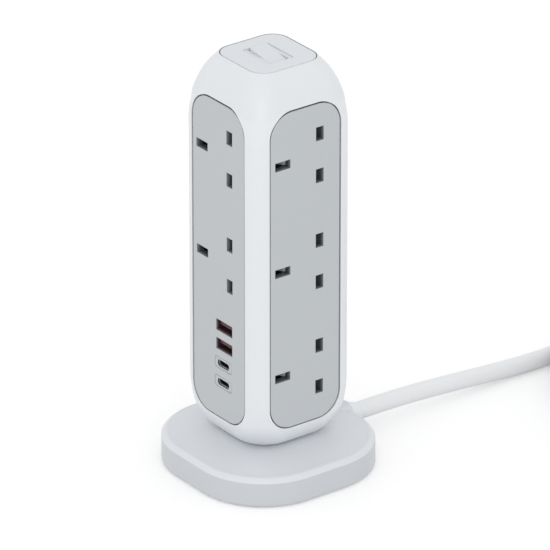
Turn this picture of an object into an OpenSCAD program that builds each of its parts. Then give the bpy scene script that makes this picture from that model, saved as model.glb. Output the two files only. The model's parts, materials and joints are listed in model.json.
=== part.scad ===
// Mains charging tower: a square tower with sockets on its four sides, a domed top with
// a switch, and a low rounded base with a cord and plug.
// Millimetres, +Z up. The origin is on the floor under the middle of the base. Front is -Y.
// A place on a side face is given by its distance along the face (s), its height (z) and
// its depth behind the flat of the face (d).

/* [Base] */
// Width of the base across its flats
base_w = 96.6; // [94:0.2:104]
// Corner radius of the base
base_corner_r = 37; // [35:0.5:39]
// Height of the upright side wall of the base
base_wall_h = 12.2; // [11:0.1:13]
// Width of the bevel round the top of the base
base_bevel_w = 4; // [3:0.5:6]
// Height of that bevel
base_bevel_h = 2.6; // [2:0.1:3.4]
// Rise of the top from the bevel to the tower's seat
base_crown_h = 4.2; // [3:0.1:4.4]
// Wall thickness of the base shell
base_t = 2.4; // [2:0.1:2.8]
// Thickness of the bottom plate
base_plate_t = 2; // [1.8:0.1:2.4]
// Height of the feet below the plate
foot_h = 1; // [0.8:0.1:1.6]
// Diameter of a foot
foot_d = 14; // [10:1:16]

/* [Tower] */
// Width of the tower across its flats
tower_w = 60.4; // [60.2:0.2:64]
// Gap between the base's seat and the tower's underside
tower_gap = 0.8; // [0.6:0.1:2]
// Corner radius of the tower at mid height
tower_corner_r = 9.3; // [9:0.1:10.5]
// Wall thickness of the tower
tower_t = 4; // [3.8:0.1:4.2]
// Height of the dome above the flat faces
dome_h = 21.2; // [20:0.1:22]
// Height at which the dome's curve would close
dome_reach = 32.5; // [31:0.1:34]
// Height of the curve under the flat faces
heel_h = 17; // [15:0.5:18]
// How far that curve draws in
heel_in = 7; // [5:0.5:8]
// Width of the cap
cap_w = 38; // [37:0.2:38.4]
// Corner radius of the cap
cap_corner_r = 8.6; // [7:0.2:10]

/* [Faceplates] */
// Width of a faceplate
panel_w = 41.5; // [41:0.1:42]
// Height of a faceplate
panel_h = 168.5; // [167:0.5:169]
// Corner radius of a faceplate
panel_corner_r = 12.75; // [11:0.25:14]
// Thickness of a faceplate
panel_t = 2.4; // [2.2:0.1:2.5]
// Depth of a faceplate's front behind the flat of the tower
panel_inset = 0.4; // [0.2:0.1:0.5]
// Seam round a faceplate and round the cap
seam = 0.45; // [0.3:0.05:0.6]

/* [Sockets] */
// Distance between the live and neutral slots
pin_pitch = 22.2; // [22:0.05:22.4]
// Distance from the live and neutral line to the earth slot
earth_reach = 22.2; // [22:0.05:22.4]
// Live and neutral line from the middle of the face
line_s = 8.8; // [8.6:0.05:9]
// Narrow and wide size of a live or neutral slot
line_slot = [4.6, 7.3];
// Wide and narrow size of an earth slot
earth_slot = [9.1, 4.6];
// Travel of a shutter
shutter_travel = 5.8; // [5.6:0.05:5.9]

/* [USB ports] */
// Width and height of the mouth of a USB-A port
usb_a_mouth = [12.2, 5.2];
// Width and height of the trim round a USB-C port
usb_c_trim = [13.7, 5.9];
// Width and height of the mouth of a USB-C port
usb_c_mouth = [8.3, 2.6];
// Middle of the USB-A ports from the middle of the face
usb_a_s = 4.2; // [4:0.1:4.4]
// Middle of the USB-C ports from the middle of the face
usb_c_s = 3.4; // [3.2:0.1:3.6]

/* [Switch] */
// Tilt of the rocker to each side
rocker_tilt = 10; // [8:0.5:10.5]
// Length of the rocker across its pivot
rocker_l = 17; // [16:0.2:17.4]
// Width of the rocker along its pivot
rocker_w = 9.8; // [9:0.2:10]

/* [Cord and plug] */
// Diameter of the cord
cord_d = 9; // [8.6:0.1:9]
// Turns of the coil in one layer
coil_turns = 2; // [1.5:0.25:2.25]
// Distance between neighbouring turns and layers
coil_pitch = 9.6; // [9.6:0.1:10]
// Radius of the middle of the coil
coil_mid_r = 46.5; // [46:0.1:54]
// Width and length of the plug
plug_size = [51, 50];
// Thickness of the plug without its pins
plug_t = 24; // [23:0.5:26]

/* [Hidden] */
// Fits and common small sizes
overrun = 0.5;
gap = 0.2;
slack = 0.1;
thread_gap = 0.05;
cut_long = 60;
fine = 48;
small = 24;

// Heights that follow from the sizes above
base_half = base_w / 2;
plate_top_z = foot_h + base_plate_t;
wall_top_z = foot_h + base_wall_h;
rim_z = wall_top_z + base_bevel_h;
seat_z = rim_z + base_crown_h;
seat_half = 21;
tower_z = seat_z + tower_gap;
tower_half = tower_w / 2;
panel_low = 11.9;
panel_drop = 17.8;
panel_z0 = tower_z + panel_low;
panel_z1 = panel_z0 + panel_h;
cap_z = panel_z1 + panel_drop;
shoulder_z = cap_z - dome_h;
heel_z = tower_z + heel_h;

// Outline of the base's top: the bevel is a quarter ellipse, the crown a rising arc
bevel_angles = [0, 22, 45, 68, 90];
crown_shares = [0.3, 0.65, 1];
base_ring_steps = 8;
tower_ring_steps = 8;
cavity_ring_steps = 4;

// Tower outline: the corner radius grows at both ends of the flat faces
dome_power = 1.6;
shoulder_swell = 4.6;
shoulder_lead = 13;
heel_swell = 7;
heel_lead = 13;
heel_sharp_share = 1.012;
heel_shares = [0, 0.06, 0.15, 0.28, 0.43, 0.6, 0.8, 1];
heel_lead_shares = [0.35, 0.7, 1];
shoulder_lead_shares = [1, 0.7, 0.35];
dome_shares = [0, 0.12, 0.25, 0.38, 0.52, 0.66, 0.79, 0.9, 1];
rim_land = 0.4;
cavity_corner_loss = 4.8;
cavity_floor_shares = [0, 0.25, 0.6, 1];
cavity_roof_shares = [0, 0.3, 0.6, 1];

// Tower floor, cap and their ledges
floor_t = 3;
floor_hole_half = 16;
floor_corner_r = 8;
floor_plate_half = 19;
floor_boss_h = 6;
cap_t = 3;
cap_ledge_t = 2;
cap_ledge_half = 17.5;
cap_ledge_in = 0.5;
cap_seat_z = cap_z - cap_t;
cavity_top_z = cap_seat_z - cap_ledge_t;
cap_leg_t = 1;
cap_leg_w = 8;
cap_leg_h = 3.2;
cap_hook = 0.9;
wire_hole_r = 5.5;

// Faceplate seat and the bands of depth behind it
panel_mid_z = (panel_z0 + panel_z1) / 2;
panel_back_d = panel_inset + panel_t;
ledge_w = 2;
boss_r = 3;
boss_end_gap = 6.5;
screw_r = 1.25;
screw_head_r = 2.2;
screw_head_t = 1.4;
collar_t = 1;
earth_collar_t = 0.8;
collar_end_d = 6.1;
earth_collar_end_d = 4.5;
shutter_d = 6.4;
shutter_t = 1.8;
carrier_d = shutter_d + shutter_t + gap;
carrier_t = 2;
carrier_back_d = carrier_d + carrier_t;
contact_d = carrier_back_d + gap;

// Sockets: rows of each face, counted from the middle row
socket_lift = 0.55;
socket_end = 27.55;
socket_pitch = panel_h / 2 - socket_end;
socket_mid_z = panel_mid_z + socket_lift;
earth_s = line_s - earth_reach;

// Carrier
carrier_half = 19.5;
carrier_wall_t = 1.3;
carrier_in = [3.6, 2.4];
carrier_z0 = panel_z0 + carrier_in[0];
carrier_z1 = panel_z1 - carrier_in[1];
carrier_tab_half = 21.5;
carrier_tab_h = 12;
carrier_tab_d = tower_t + thread_gap;
carrier_tab_t = 3;
rail_t = 1.2;
rail_s0 = 4.4;
usb_window_half = 16.4;
usb_window_in = [2.1, 0.35];
usb_space_z0 = panel_z0 + boss_end_gap + boss_r;
usb_space_z1 = socket_mid_z - socket_pitch / 2 - boss_r;
usb_window_z0 = usb_space_z0 + usb_window_in[0];
usb_window_z1 = usb_space_z1 - usb_window_in[1];

// Shutter
shield_s0 = line_s - 3.1;
shield_s1 = line_s + 3.1;
shield_half_z = pin_pitch / 2 + line_slot[1] / 2 + 0.55;
arm_half_z = 4.4;
arm_s0 = earth_s + 4.4;
ramp_top_d = earth_collar_end_d + gap;
ramp_top_s = earth_s + 4.2;
ramp_back_s = earth_s + 5.4;
ramp_deep_d = carrier_back_d - gap;
ramp_half_z = 2.1;
notch_s0 = line_s - 5.6;
notch_half_z = 2;
nub_t = 1.2;
nub_half_z = 2.4;
nub_d = 4.9;
spring_r = 1.35;
spring_wire_r = 0.25;
spring_d = 6.6;
spring_curls = 5;
spring_steps = 8;
spring_sides = 4;
spring_peg_r = 0.7;
spring_peg_l = 2.4;
spring_s0 = notch_s0 + slack;
spring_s1 = carrier_half - carrier_wall_t - slack;
spring_pad_d = 4.7;

// Contacts and rails
pin_line = [4, 6.35];
pin_earth = [8, 4];
grip_gap = 0.1;
brass_t = 0.8;
line_grip_h = 6;
line_grip_l = 8.8;
earth_grip_w = 7.2;
earth_grip_l = 9.4;
bar_t = 1;
bar_w = 2.6;
live_bar_s = line_s + 3.8;
neutral_bar_s = line_s - 6.2;
earth_bar_s = earth_s + 4.8;
ring_in = 14;
ring_out = 16;
earth_ring_z = shoulder_z + 2;
neutral_ring_z = earth_ring_z + 2.5;
live_ring_z = neutral_ring_z + 2.5;

// Switch
pivot_z = cap_z - 4.5;
pivot_r = 1.5;
pivot_gap = 0.05;
case_half = [10.6, 7.4];
case_t = [0.7, 2.3];
case_drop = 0.3;
case_top_z = cap_z - case_drop;
case_floor_t = 1.4;
case_z = live_ring_z + 2.6;
case_flange = 1.8;
case_flange_t = 1.5;
rocker_top = 4.8;
rocker_dip = 0.3;
rocker_side = 0.8;
rocker_under = 2;
rocker_foot_half = 3;
seesaw_half = [7, 2];
load_pad_x = [5.5, 8];
load_pad_drop = 4.3;
common_drop = 3.1;
blade_half_w = 2;
common_foot = 3;
common_foot_z = live_ring_z - 1;
load_blade_x = 6.5;

// USB ports: heights, shells, board and parts
usb_drop = 3.85;
usb_pitch_share = 0.231;
usb_top_z = usb_space_z1 - usb_drop;
usb_pitch = (usb_space_z1 - usb_space_z0) * usb_pitch_share;
usb_shell_t = 0.35;
usb_shell_d = 0.9;
usb_back_d = 12.4;
usb_a_tongue = [11, 1.9];
usb_a_tongue_d = 2;
usb_a_tongue_rise = 0.9;
usb_block_l = 3;
usb_c_shell_d = 1;
usb_c_tongue = [6.6, 0.7];
usb_c_tongue_d = 2.4;
usb_trim_t = 2.6;
usb_trim_corner_r = 1.6;
board_t = 1.6;
board_s0 = -15;
board_s1 = 6.6;
board_margin = 5;
pillar_s = -11;
coil_part = [12, 7, 12];
can_r = 3.1;
can_h = 6.6;
chip = [6, 1.4, 6];

// Base: seats, screws, hood, saddle and clamp
base_screw_in = [12.3, 34.3];
base_screw_place = [base_half - base_screw_in[0], base_half - base_screw_in[1]];
base_boss_r = 3.5;
foot_in = 19.3;
foot_place = base_half - foot_in;
foot_recess = 1;
tower_screw_place = 11;
tower_screw_r = 1.5;
tower_screw_head_r = 2.8;
tower_screw_head_t = 1.8;
exit_z = 10;
hood_l = 12.3;
hood_y0 = base_half - hood_l;
hood_r = [8.6, 7.6];
gland_r = 5.6;
gland_flange_r = 6.8;
gland_root = 2;
gland_y0 = hood_y0 - gland_root;
gland_collar_t = 3;
gland_collar_y = [hood_y0 + gland_root, hood_y0 + gland_root + gland_collar_t];
gland_tip_r = 4.9;
gland_out = 6.2;
gland_tip_y = base_half + gland_out;
inner_end_gap = 2;
saddle_l = 6;
saddle_in = 24.3;
saddle_y = [base_half - saddle_in, base_half - saddle_in + saddle_l];
inner_end_y = saddle_y[0] - inner_end_gap;
saddle_half = 13;
clamp_z0 = 3.6;
clamp_split_gap = 0.3;
clamp_screw_x = 9.5;

// Cord: round points of the straight run, from the gland to the coil
run_points = [
    [0, gland_tip_y, exit_z], [0, 66, exit_z], [0, 80, 9.8], [0, 94, 9.2], [0, 110, 8.2], [0, 126, 7],
    [0, 142, 5.8], [0, 158, 4.9], [0, 174, 4.5], [0, 190, 4.5], [0, 204, 4.5]
];
run_sides = 10;
coil_sides = 6;
coil_steps = 24;
coil_lead = [6, 0.6];
coil_end_l = 2;
coil_y = 210;
coil_in_r = coil_mid_r - coil_pitch * coil_turns / 2;
coil_soft_share = 0.03;
coil_layers = 3;
coil_last_turn = coil_layers * coil_turns + 0.5;
rise_turns = 0.28;
plug_z = cord_d + (coil_layers - 1) * coil_pitch + gap;
plug_axis_z = plug_t / 2;
tail_rise = plug_z + plug_axis_z - cord_d / 2 - coil_layers * coil_pitch;

// Wires inside, from the sheath's end up the middle of the tower
wire_r = 1.4;
wire_spread = 2.4;
wire_sides = 8;
wire_bend_r = 6;
wire_bend_step = 22.5;
wire_up = [1, 1, 0];

// Plug
plug_corner_r = 9;
sleeve_l = 9;
sleeve_r = [6.4, 5];
plug_line_u = 14.5;
pin_line_l = 17.7;
pin_earth_l = 22.7;
pin_root = 8;
fuse_r = 3.15;
fuse_l = 25.4;
fuse_u = 12.3;
fuse_drop = 2.6;

// Rows of sockets on a face: the front has only the upper two
function rows(k) = k == 0 ? [0, 1] : [-1, 0, 1];
function row_z(row) = socket_mid_z + row * socket_pitch;
function screw_heights(k) = concat(
    [panel_z1 - boss_end_gap, panel_z0 + boss_end_gap],
    [for (i = [-1, 1]) row_z(i / 2)]);

// Half width and corner radius of the tower at a height
function dome_half(z) = tower_half
    * pow(1 - pow((z - shoulder_z) / dome_reach, dome_power), 1 / dome_power);
function heel_half(z) = tower_half
    - heel_in * (1 - sqrt(1 - pow((heel_z - z) / (heel_h * heel_sharp_share), 2)));
function tower_half_at(z) = z > shoulder_z
    ? max(dome_half(z), cap_w / 2 + seam + rim_land)
    : z < heel_z ? heel_half(z) : tower_half;
function tower_corner_at(z) = z > shoulder_z - shoulder_lead
    ? tower_corner_r + shoulder_swell
        * pow(sin(180 * (z - shoulder_z + shoulder_lead) / (dome_h + shoulder_lead)), 2)
    : z < heel_z + heel_lead
        ? tower_corner_r + heel_swell
            * pow(sin(90 * (heel_z + heel_lead - z) / (heel_h + heel_lead)), 2)
        : tower_corner_r;

// Points of a rounded square at a height, and the skin through a list of such rings
function ring(half, r, z, steps) = [
    for (q = [0:3], i = [0:steps])
        let (a = 90 * (q + i / steps), x = q == 0 || q == 3 ? 1 : -1, y = q < 2 ? 1 : -1)
        [x * (half - r) + r * cos(a), y * (half - r) + r * sin(a), z]
];
module skin(rings) {
    m = len(rings[0]);
    n = len(rings);
    polyhedron(
        points = [for (r = rings) each r],
        faces = concat(
            [[for (i = [0:m - 1]) i]],
            [for (j = [0:n - 2], i = [0:m - 1])
                [j * m + i, (j + 1) * m + i, (j + 1) * m + (i + 1) % m]],
            [for (j = [0:n - 2], i = [0:m - 1])
                [j * m + i, (j + 1) * m + (i + 1) % m, j * m + (i + 1) % m]],
            [[for (i = [m - 1:-1:0]) (n - 1) * m + i]]
        )
    );
}

// Tube swept along points: each ring is square to the run of its neighbours
function unit(v) = v / norm(v);
function run_dir(p, i) = unit(p[min(i + 1, len(p) - 1)] - p[max(i - 1, 0)]);
function side_dir(t, up) = unit(cross(t, up));
function tube_ring(c, t, r, sides, up) = let (a = side_dir(t, up), b = cross(a, t))
    [for (k = [0:sides - 1]) c + r * (cos(360 * k / sides) * b + sin(360 * k / sides) * a)];
module tube(p, r, sides, up = [0, 0, 1]) {
    skin([for (i = [0:len(p) - 1]) tube_ring(p[i], run_dir(p, i), r, sides, up)]);
}

// Flat outlines and blocks in the face's own directions
module rounded(w, h, r) {
    union() {
        square([w - 2 * r, h], center = true);
        square([w, h - 2 * r], center = true);
        for (i = [-1, 1], j = [-1, 1])
            translate([i * (w / 2 - r), j * (h / 2 - r)]) circle(r = r, $fn = fine);
    }
}
module prism(half, r, z0, z1) {
    translate([0, 0, z0]) linear_extrude(z1 - z0) rounded(2 * half, 2 * half, r);
}
module on_face(k) {
    rotate([0, 0, 90 * k]) translate([0, -tower_half, 0]) children();
}
module depths(d0, d1) {
    translate([0, d1, 0]) rotate([90, 0, 0]) linear_extrude(d1 - d0) children();
}
module block(s, d, z) {
    translate([s[0], d[0], z[0]]) cube([s[1] - s[0], d[1] - d[0], z[1] - z[0]]);
}
module rod_d(s, z, r, d0, d1) {
    translate([s, d1, z]) rotate([90, 0, 0]) cylinder(r = r, h = d1 - d0, $fn = small);
}
module rod_z(x, y, r, z0, z1) {
    translate([x, y, z0]) cylinder(r = r, h = z1 - z0, $fn = small);
}
module cone_y(y0, y1, r0, r1, z) {
    translate([0, y1, z]) rotate([90, 0, 0])
        cylinder(r1 = r1, r2 = r0, h = y1 - y0, $fn = fine);
}
module corners(x, y) {
    for (i = [-1, 1], j = [-1, 1]) translate([i * x, j * y, 0]) children();
}

// Base
function base_ring(in, z, loss) = ring(
    base_half - in - loss, base_corner_r - in - loss, z, base_ring_steps);
function crown_in(share) = base_bevel_w + (base_half - seat_half - base_bevel_w) * share;
function base_rings(loss) = concat(
    [base_ring(0, foot_h - (loss > 0 ? overrun : 0), loss)],
    [for (a = bevel_angles) base_ring(base_bevel_w * (1 - cos(a)),
        wall_top_z + base_bevel_h * sin(a) - loss, loss)],
    [for (c = crown_shares) base_ring(crown_in(c) - (c == 1 ? loss : 0),
        rim_z + base_crown_h * sin(90 * c) - loss, loss)]
);
module base_shell() {
    color("whitesmoke") difference() {
        union() {
            difference() {
                skin(base_rings(0));
                skin(base_rings(base_t));
            }
            corners(base_screw_place[0], base_screw_place[1])
                rod_z(0, 0, base_boss_r, plate_top_z + slack, rim_z);
            cone_y(hood_y0, base_half, hood_r[0], hood_r[1], exit_z);
            block([-saddle_half, saddle_half], saddle_y,
                [exit_z + clamp_split_gap / 2, rim_z + base_crown_h / 2]);
        }
        corners(base_screw_place[0], base_screw_place[1])
            rod_z(0, 0, screw_r + thread_gap, plate_top_z, rim_z - base_t);
        corners(tower_screw_place, tower_screw_place)
            rod_z(0, 0, tower_screw_r + slack, plate_top_z, seat_z + overrun);
        rod_z(0, 0, wire_hole_r, plate_top_z, seat_z + overrun);
        cone_y(gland_y0 - overrun, base_half + overrun, gland_r + thread_gap,
            gland_r + thread_gap, exit_z);
        cone_y(gland_collar_y[0] - thread_gap, gland_collar_y[1] + thread_gap,
            gland_flange_r + thread_gap, gland_flange_r + thread_gap, exit_z);
        cone_y(saddle_y[0] - overrun, gland_y0, cord_d / 2 + thread_gap,
            cord_d / 2 + thread_gap, exit_z);
        for (i = [-1, 1])
            rod_z(i * clamp_screw_x, (saddle_y[0] + saddle_y[1]) / 2, screw_r + thread_gap,
                exit_z, exit_z + pin_root / 2);
        block([-saddle_half, saddle_half], [hood_y0 - overrun, base_half - base_t - gap],
            [0, plate_top_z + slack]);
    }
}
module base_plate() {
    plate_half = base_half - base_t - gap;
    color("gainsboro") difference() {
        prism(plate_half, base_corner_r - base_t - gap, foot_h, plate_top_z);
        corners(foot_place, foot_place)
            rod_z(0, 0, foot_d / 2 + thread_gap, 0, foot_h + foot_recess);
        corners(base_screw_place[0], base_screw_place[1]) {
            rod_z(0, 0, screw_r + slack, 0, plate_top_z + overrun);
            rod_z(0, 0, screw_head_r + slack, 0, foot_h + screw_head_t);
        }
    }
}
module rubber_feet() {
    color("dimgray") corners(foot_place, foot_place)
        rod_z(0, 0, foot_d / 2, 0, foot_h + foot_recess);
}
module screw_up(r, head_r, head_t, z0, length) {
    union() {
        rod_z(0, 0, head_r, z0, z0 + head_t);
        rod_z(0, 0, r, z0 + head_t, z0 + head_t + length);
    }
}
module base_screws() {
    color("silver") corners(base_screw_place[0], base_screw_place[1])
        screw_up(screw_r, screw_head_r, screw_head_t - gap, foot_h + gap,
            rim_z - base_t - foot_h - screw_head_t - gap);
}
module tower_screws() {
    color("silver") corners(tower_screw_place, tower_screw_place)
        screw_up(tower_screw_r, tower_screw_head_r, tower_screw_head_t,
            seat_z - base_t - tower_screw_head_t,
            base_t + tower_gap + floor_t + floor_t + floor_boss_h / 2);
}
module cord_clamp() {
    color("lightgray") difference() {
        block([-saddle_half, saddle_half], saddle_y, [clamp_z0, exit_z - clamp_split_gap / 2]);
        cone_y(saddle_y[0] - overrun, saddle_y[1] + overrun, cord_d / 2 + thread_gap,
            cord_d / 2 + thread_gap, exit_z);
        for (i = [-1, 1]) translate([i * clamp_screw_x, (saddle_y[0] + saddle_y[1]) / 2, 0]) {
            rod_z(0, 0, screw_r + slack, 0, exit_z);
            rod_z(0, 0, screw_head_r + slack, 0, clamp_z0 + screw_head_t);
        }
    }
}
module clamp_screws() {
    color("silver") for (i = [-1, 1])
        translate([i * clamp_screw_x, (saddle_y[0] + saddle_y[1]) / 2, 0])
            screw_up(screw_r, screw_head_r, screw_head_t, clamp_z0,
                exit_z - clamp_z0 - screw_head_t + pin_root / 2 - gap);
}
module cord_gland() {
    color("whitesmoke") difference() {
        union() {
            cone_y(gland_collar_y[0], gland_collar_y[1], gland_flange_r, gland_flange_r, exit_z);
            cone_y(gland_y0, base_half + overrun, gland_r, gland_r, exit_z);
            cone_y(base_half, gland_tip_y, gland_flange_r, gland_tip_r, exit_z);
        }
        cone_y(inner_end_y, gland_tip_y + overrun, cord_d / 2 + thread_gap,
            cord_d / 2 + thread_gap, exit_z);
    }
}
module cord_inner_end() {
    color("whitesmoke") cone_y(inner_end_y, gland_tip_y, cord_d / 2, cord_d / 2, exit_z);
}

// Tower shell, floor and cap
function tower_heights() = concat(
    [for (s = heel_shares) tower_z + heel_h * s],
    [for (s = heel_lead_shares) heel_z + heel_lead * s],
    [for (s = shoulder_lead_shares) shoulder_z - shoulder_lead * s],
    [for (s = dome_shares) shoulder_z + dome_h * s]
);
function cavity_heights() = concat(
    [for (s = cavity_floor_shares) tower_z + floor_t + (heel_h - floor_t) * s],
    [heel_z + heel_lead, shoulder_z - shoulder_lead],
    [for (s = cavity_roof_shares) shoulder_z + (cavity_top_z - shoulder_z) * s]
);
module window(half_w, half_h, r, d0, d1) {
    translate([0, 0, panel_mid_z]) depths(d0, d1) rounded(2 * half_w, 2 * half_h, r);
}
module tower_housing() {
    color("white") difference() {
        skin([for (z = tower_heights())
            ring(tower_half_at(z), tower_corner_at(z), z, tower_ring_steps)]);
        skin([for (z = cavity_heights()) ring(tower_half_at(z) - tower_t,
            tower_corner_at(z) - cavity_corner_loss, z, cavity_ring_steps)]);
        prism(cap_ledge_half, cap_corner_r - cap_ledge_in, cavity_top_z - overrun, cap_z);
        prism(cap_w / 2 + seam, cap_corner_r + seam, cap_seat_z, cap_z + overrun);
        prism(floor_hole_half, floor_corner_r, tower_z - overrun, tower_z + floor_t + overrun);
        for (k = [0:3]) on_face(k) {
            window(panel_w / 2 + seam, panel_h / 2 + seam, panel_corner_r + seam,
                -overrun, panel_back_d);
            window(panel_w / 2 - ledge_w, panel_h / 2 - ledge_w, panel_corner_r - ledge_w,
                0, tower_t + 2 * overrun);
        }
    }
}
module tower_floor() {
    z0 = tower_z + floor_t;
    color("lightgray") difference() {
        union() {
            prism(floor_plate_half, floor_corner_r + floor_t, z0, z0 + floor_t);
            prism(floor_hole_half - gap, floor_corner_r - gap, seat_z, z0);
            corners(tower_screw_place, tower_screw_place)
                rod_z(0, 0, boss_r, z0, z0 + floor_t + floor_boss_h);
        }
        corners(tower_screw_place, tower_screw_place)
            rod_z(0, 0, tower_screw_r + thread_gap, seat_z - overrun,
                z0 + floor_t + floor_boss_h - overrun);
        rod_z(0, 0, wire_hole_r, seat_z - overrun, z0 + floor_t + overrun);
    }
}
module top_cap() {
    leg_x = cap_ledge_half - gap;
    color("lightgray") union() {
        difference() {
            prism(cap_w / 2, cap_corner_r, cap_seat_z, cap_z);
            block([-case_half[0] - slack, case_half[0] + slack],
                [-case_half[1] - slack, case_half[1] + slack],
                [cap_seat_z - overrun, cap_z + overrun]);
        }
        for (k = [0:3]) rotate([0, 0, 90 * k]) {
            block([leg_x - cap_leg_t, leg_x], [-cap_leg_w / 2, cap_leg_w / 2],
                [cap_seat_z - cap_leg_h, cap_seat_z]);
            block([leg_x - cap_leg_t, leg_x + cap_hook], [-cap_leg_w / 2, cap_leg_w / 2],
                [cap_seat_z - cap_leg_h, cavity_top_z - gap]);
        }
    }
}

// Switch
module switch_case() {
    color("lightgray") difference() {
        union() {
            block([-case_half[0], case_half[0]], [-case_half[1], case_half[1]],
                [case_z, case_top_z]);
            block([-case_half[0] - case_flange, case_half[0] + case_flange],
                [-case_half[1] - case_flange, case_half[1] + case_flange],
                [cap_seat_z - case_flange_t, cap_seat_z]);
        }
        block([-case_half[0] + case_t[0], case_half[0] - case_t[0]],
            [-case_half[1] + case_t[1], case_half[1] - case_t[1]],
            [case_z + case_floor_t, case_top_z + overrun]);
        translate([0, 0, pivot_z]) rotate([90, 0, 0])
            cylinder(r = pivot_r + pivot_gap, h = cut_long, center = true, $fn = small);
        for (x = [0, load_blade_x])
            block([x - brass_t / 2 - slack, x + brass_t / 2 + slack],
                [-blade_half_w - slack, blade_half_w + slack],
                [case_z - overrun, case_z + case_floor_t + overrun]);
    }
}
module rocker_frame() {
    translate([0, 0, pivot_z]) rotate([0, rocker_tilt, 0]) children();
}
module switch_rocker() {
    half = rocker_l / 2;
    color("whitesmoke") rocker_frame() union() {
        translate([0, rocker_w / 2, 0]) rotate([90, 0, 0]) linear_extrude(rocker_w) polygon([
            [-half, rocker_side], [-rocker_foot_half, -rocker_under],
            [rocker_foot_half, -rocker_under], [half, rocker_side], [half, rocker_top],
            [0, rocker_top - rocker_dip], [-half, rocker_top]
        ]);
        rotate([90, 0, 0])
            cylinder(r = pivot_r, h = 2 * (case_half[1] - slack), center = true, $fn = small);
    }
}
module switch_contact() {
    color("goldenrod") rocker_frame()
        block([-seesaw_half[0], seesaw_half[0]], [-seesaw_half[1], seesaw_half[1]],
            [-rocker_under - brass_t, -rocker_under]);
}
module switch_terminals() {
    color("goldenrod") {
        union() {
            block([-brass_t / 2, brass_t / 2], [-blade_half_w, blade_half_w],
                [common_foot_z, pivot_z - common_drop]);
            block([-common_foot, common_foot], [-common_foot, common_foot],
                [common_foot_z, common_foot_z + brass_t]);
        }
        union() {
            block([load_blade_x - brass_t / 2, load_blade_x + brass_t / 2],
                [-blade_half_w, blade_half_w], [live_ring_z, pivot_z - load_pad_drop]);
            block(load_pad_x, [-blade_half_w, blade_half_w],
                [pivot_z - load_pad_drop - brass_t, pivot_z - load_pad_drop]);
        }
    }
}

// Faceplates
module slot_blocks(z, s_grow, d0, d1, earth_d1, earth_grow) {
    for (i = [-1, 1])
        block([line_s - line_slot[0] / 2 - s_grow, line_s + line_slot[0] / 2 + s_grow], [d0, d1],
            [z + i * pin_pitch / 2 - line_slot[1] / 2 - s_grow,
             z + i * pin_pitch / 2 + line_slot[1] / 2 + s_grow]);
    block([earth_s - earth_slot[0] / 2 - earth_grow, earth_s + earth_slot[0] / 2 + earth_grow],
        [d0, earth_d1],
        [z - earth_slot[1] / 2 - earth_grow, z + earth_slot[1] / 2 + earth_grow]);
}
function usb_z(i) = usb_top_z - i * usb_pitch;
module faceplate(k) {
    color("lightgray") on_face(k) difference() {
        union() {
            window(panel_w / 2, panel_h / 2, panel_corner_r, panel_inset, panel_back_d);
            for (r = rows(k)) slot_blocks(row_z(r), collar_t, panel_back_d - overrun,
                collar_end_d, earth_collar_end_d, earth_collar_t);
            for (z = screw_heights(k)) rod_d(0, z, boss_r, panel_back_d - overrun, carrier_d);
            if (k == 0) for (z = pillar_heights())
                rod_d(pillar_s, z, boss_r, panel_back_d - overrun, usb_back_d);
        }
        for (r = rows(k))
            slot_blocks(row_z(r), 0, 0, collar_end_d + overrun, collar_end_d, 0);
        for (z = screw_heights(k))
            rod_d(0, z, screw_r + thread_gap, panel_back_d, carrier_d + overrun);
        if (k == 0) {
            for (z = pillar_heights())
                rod_d(pillar_s, z, screw_r + thread_gap, panel_back_d, usb_back_d + overrun);
            for (i = [0, 1]) usb_a_hole(usb_z(i));
            for (i = [2, 3]) usb_c_hole(usb_z(i));
        }
    }
}

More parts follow.
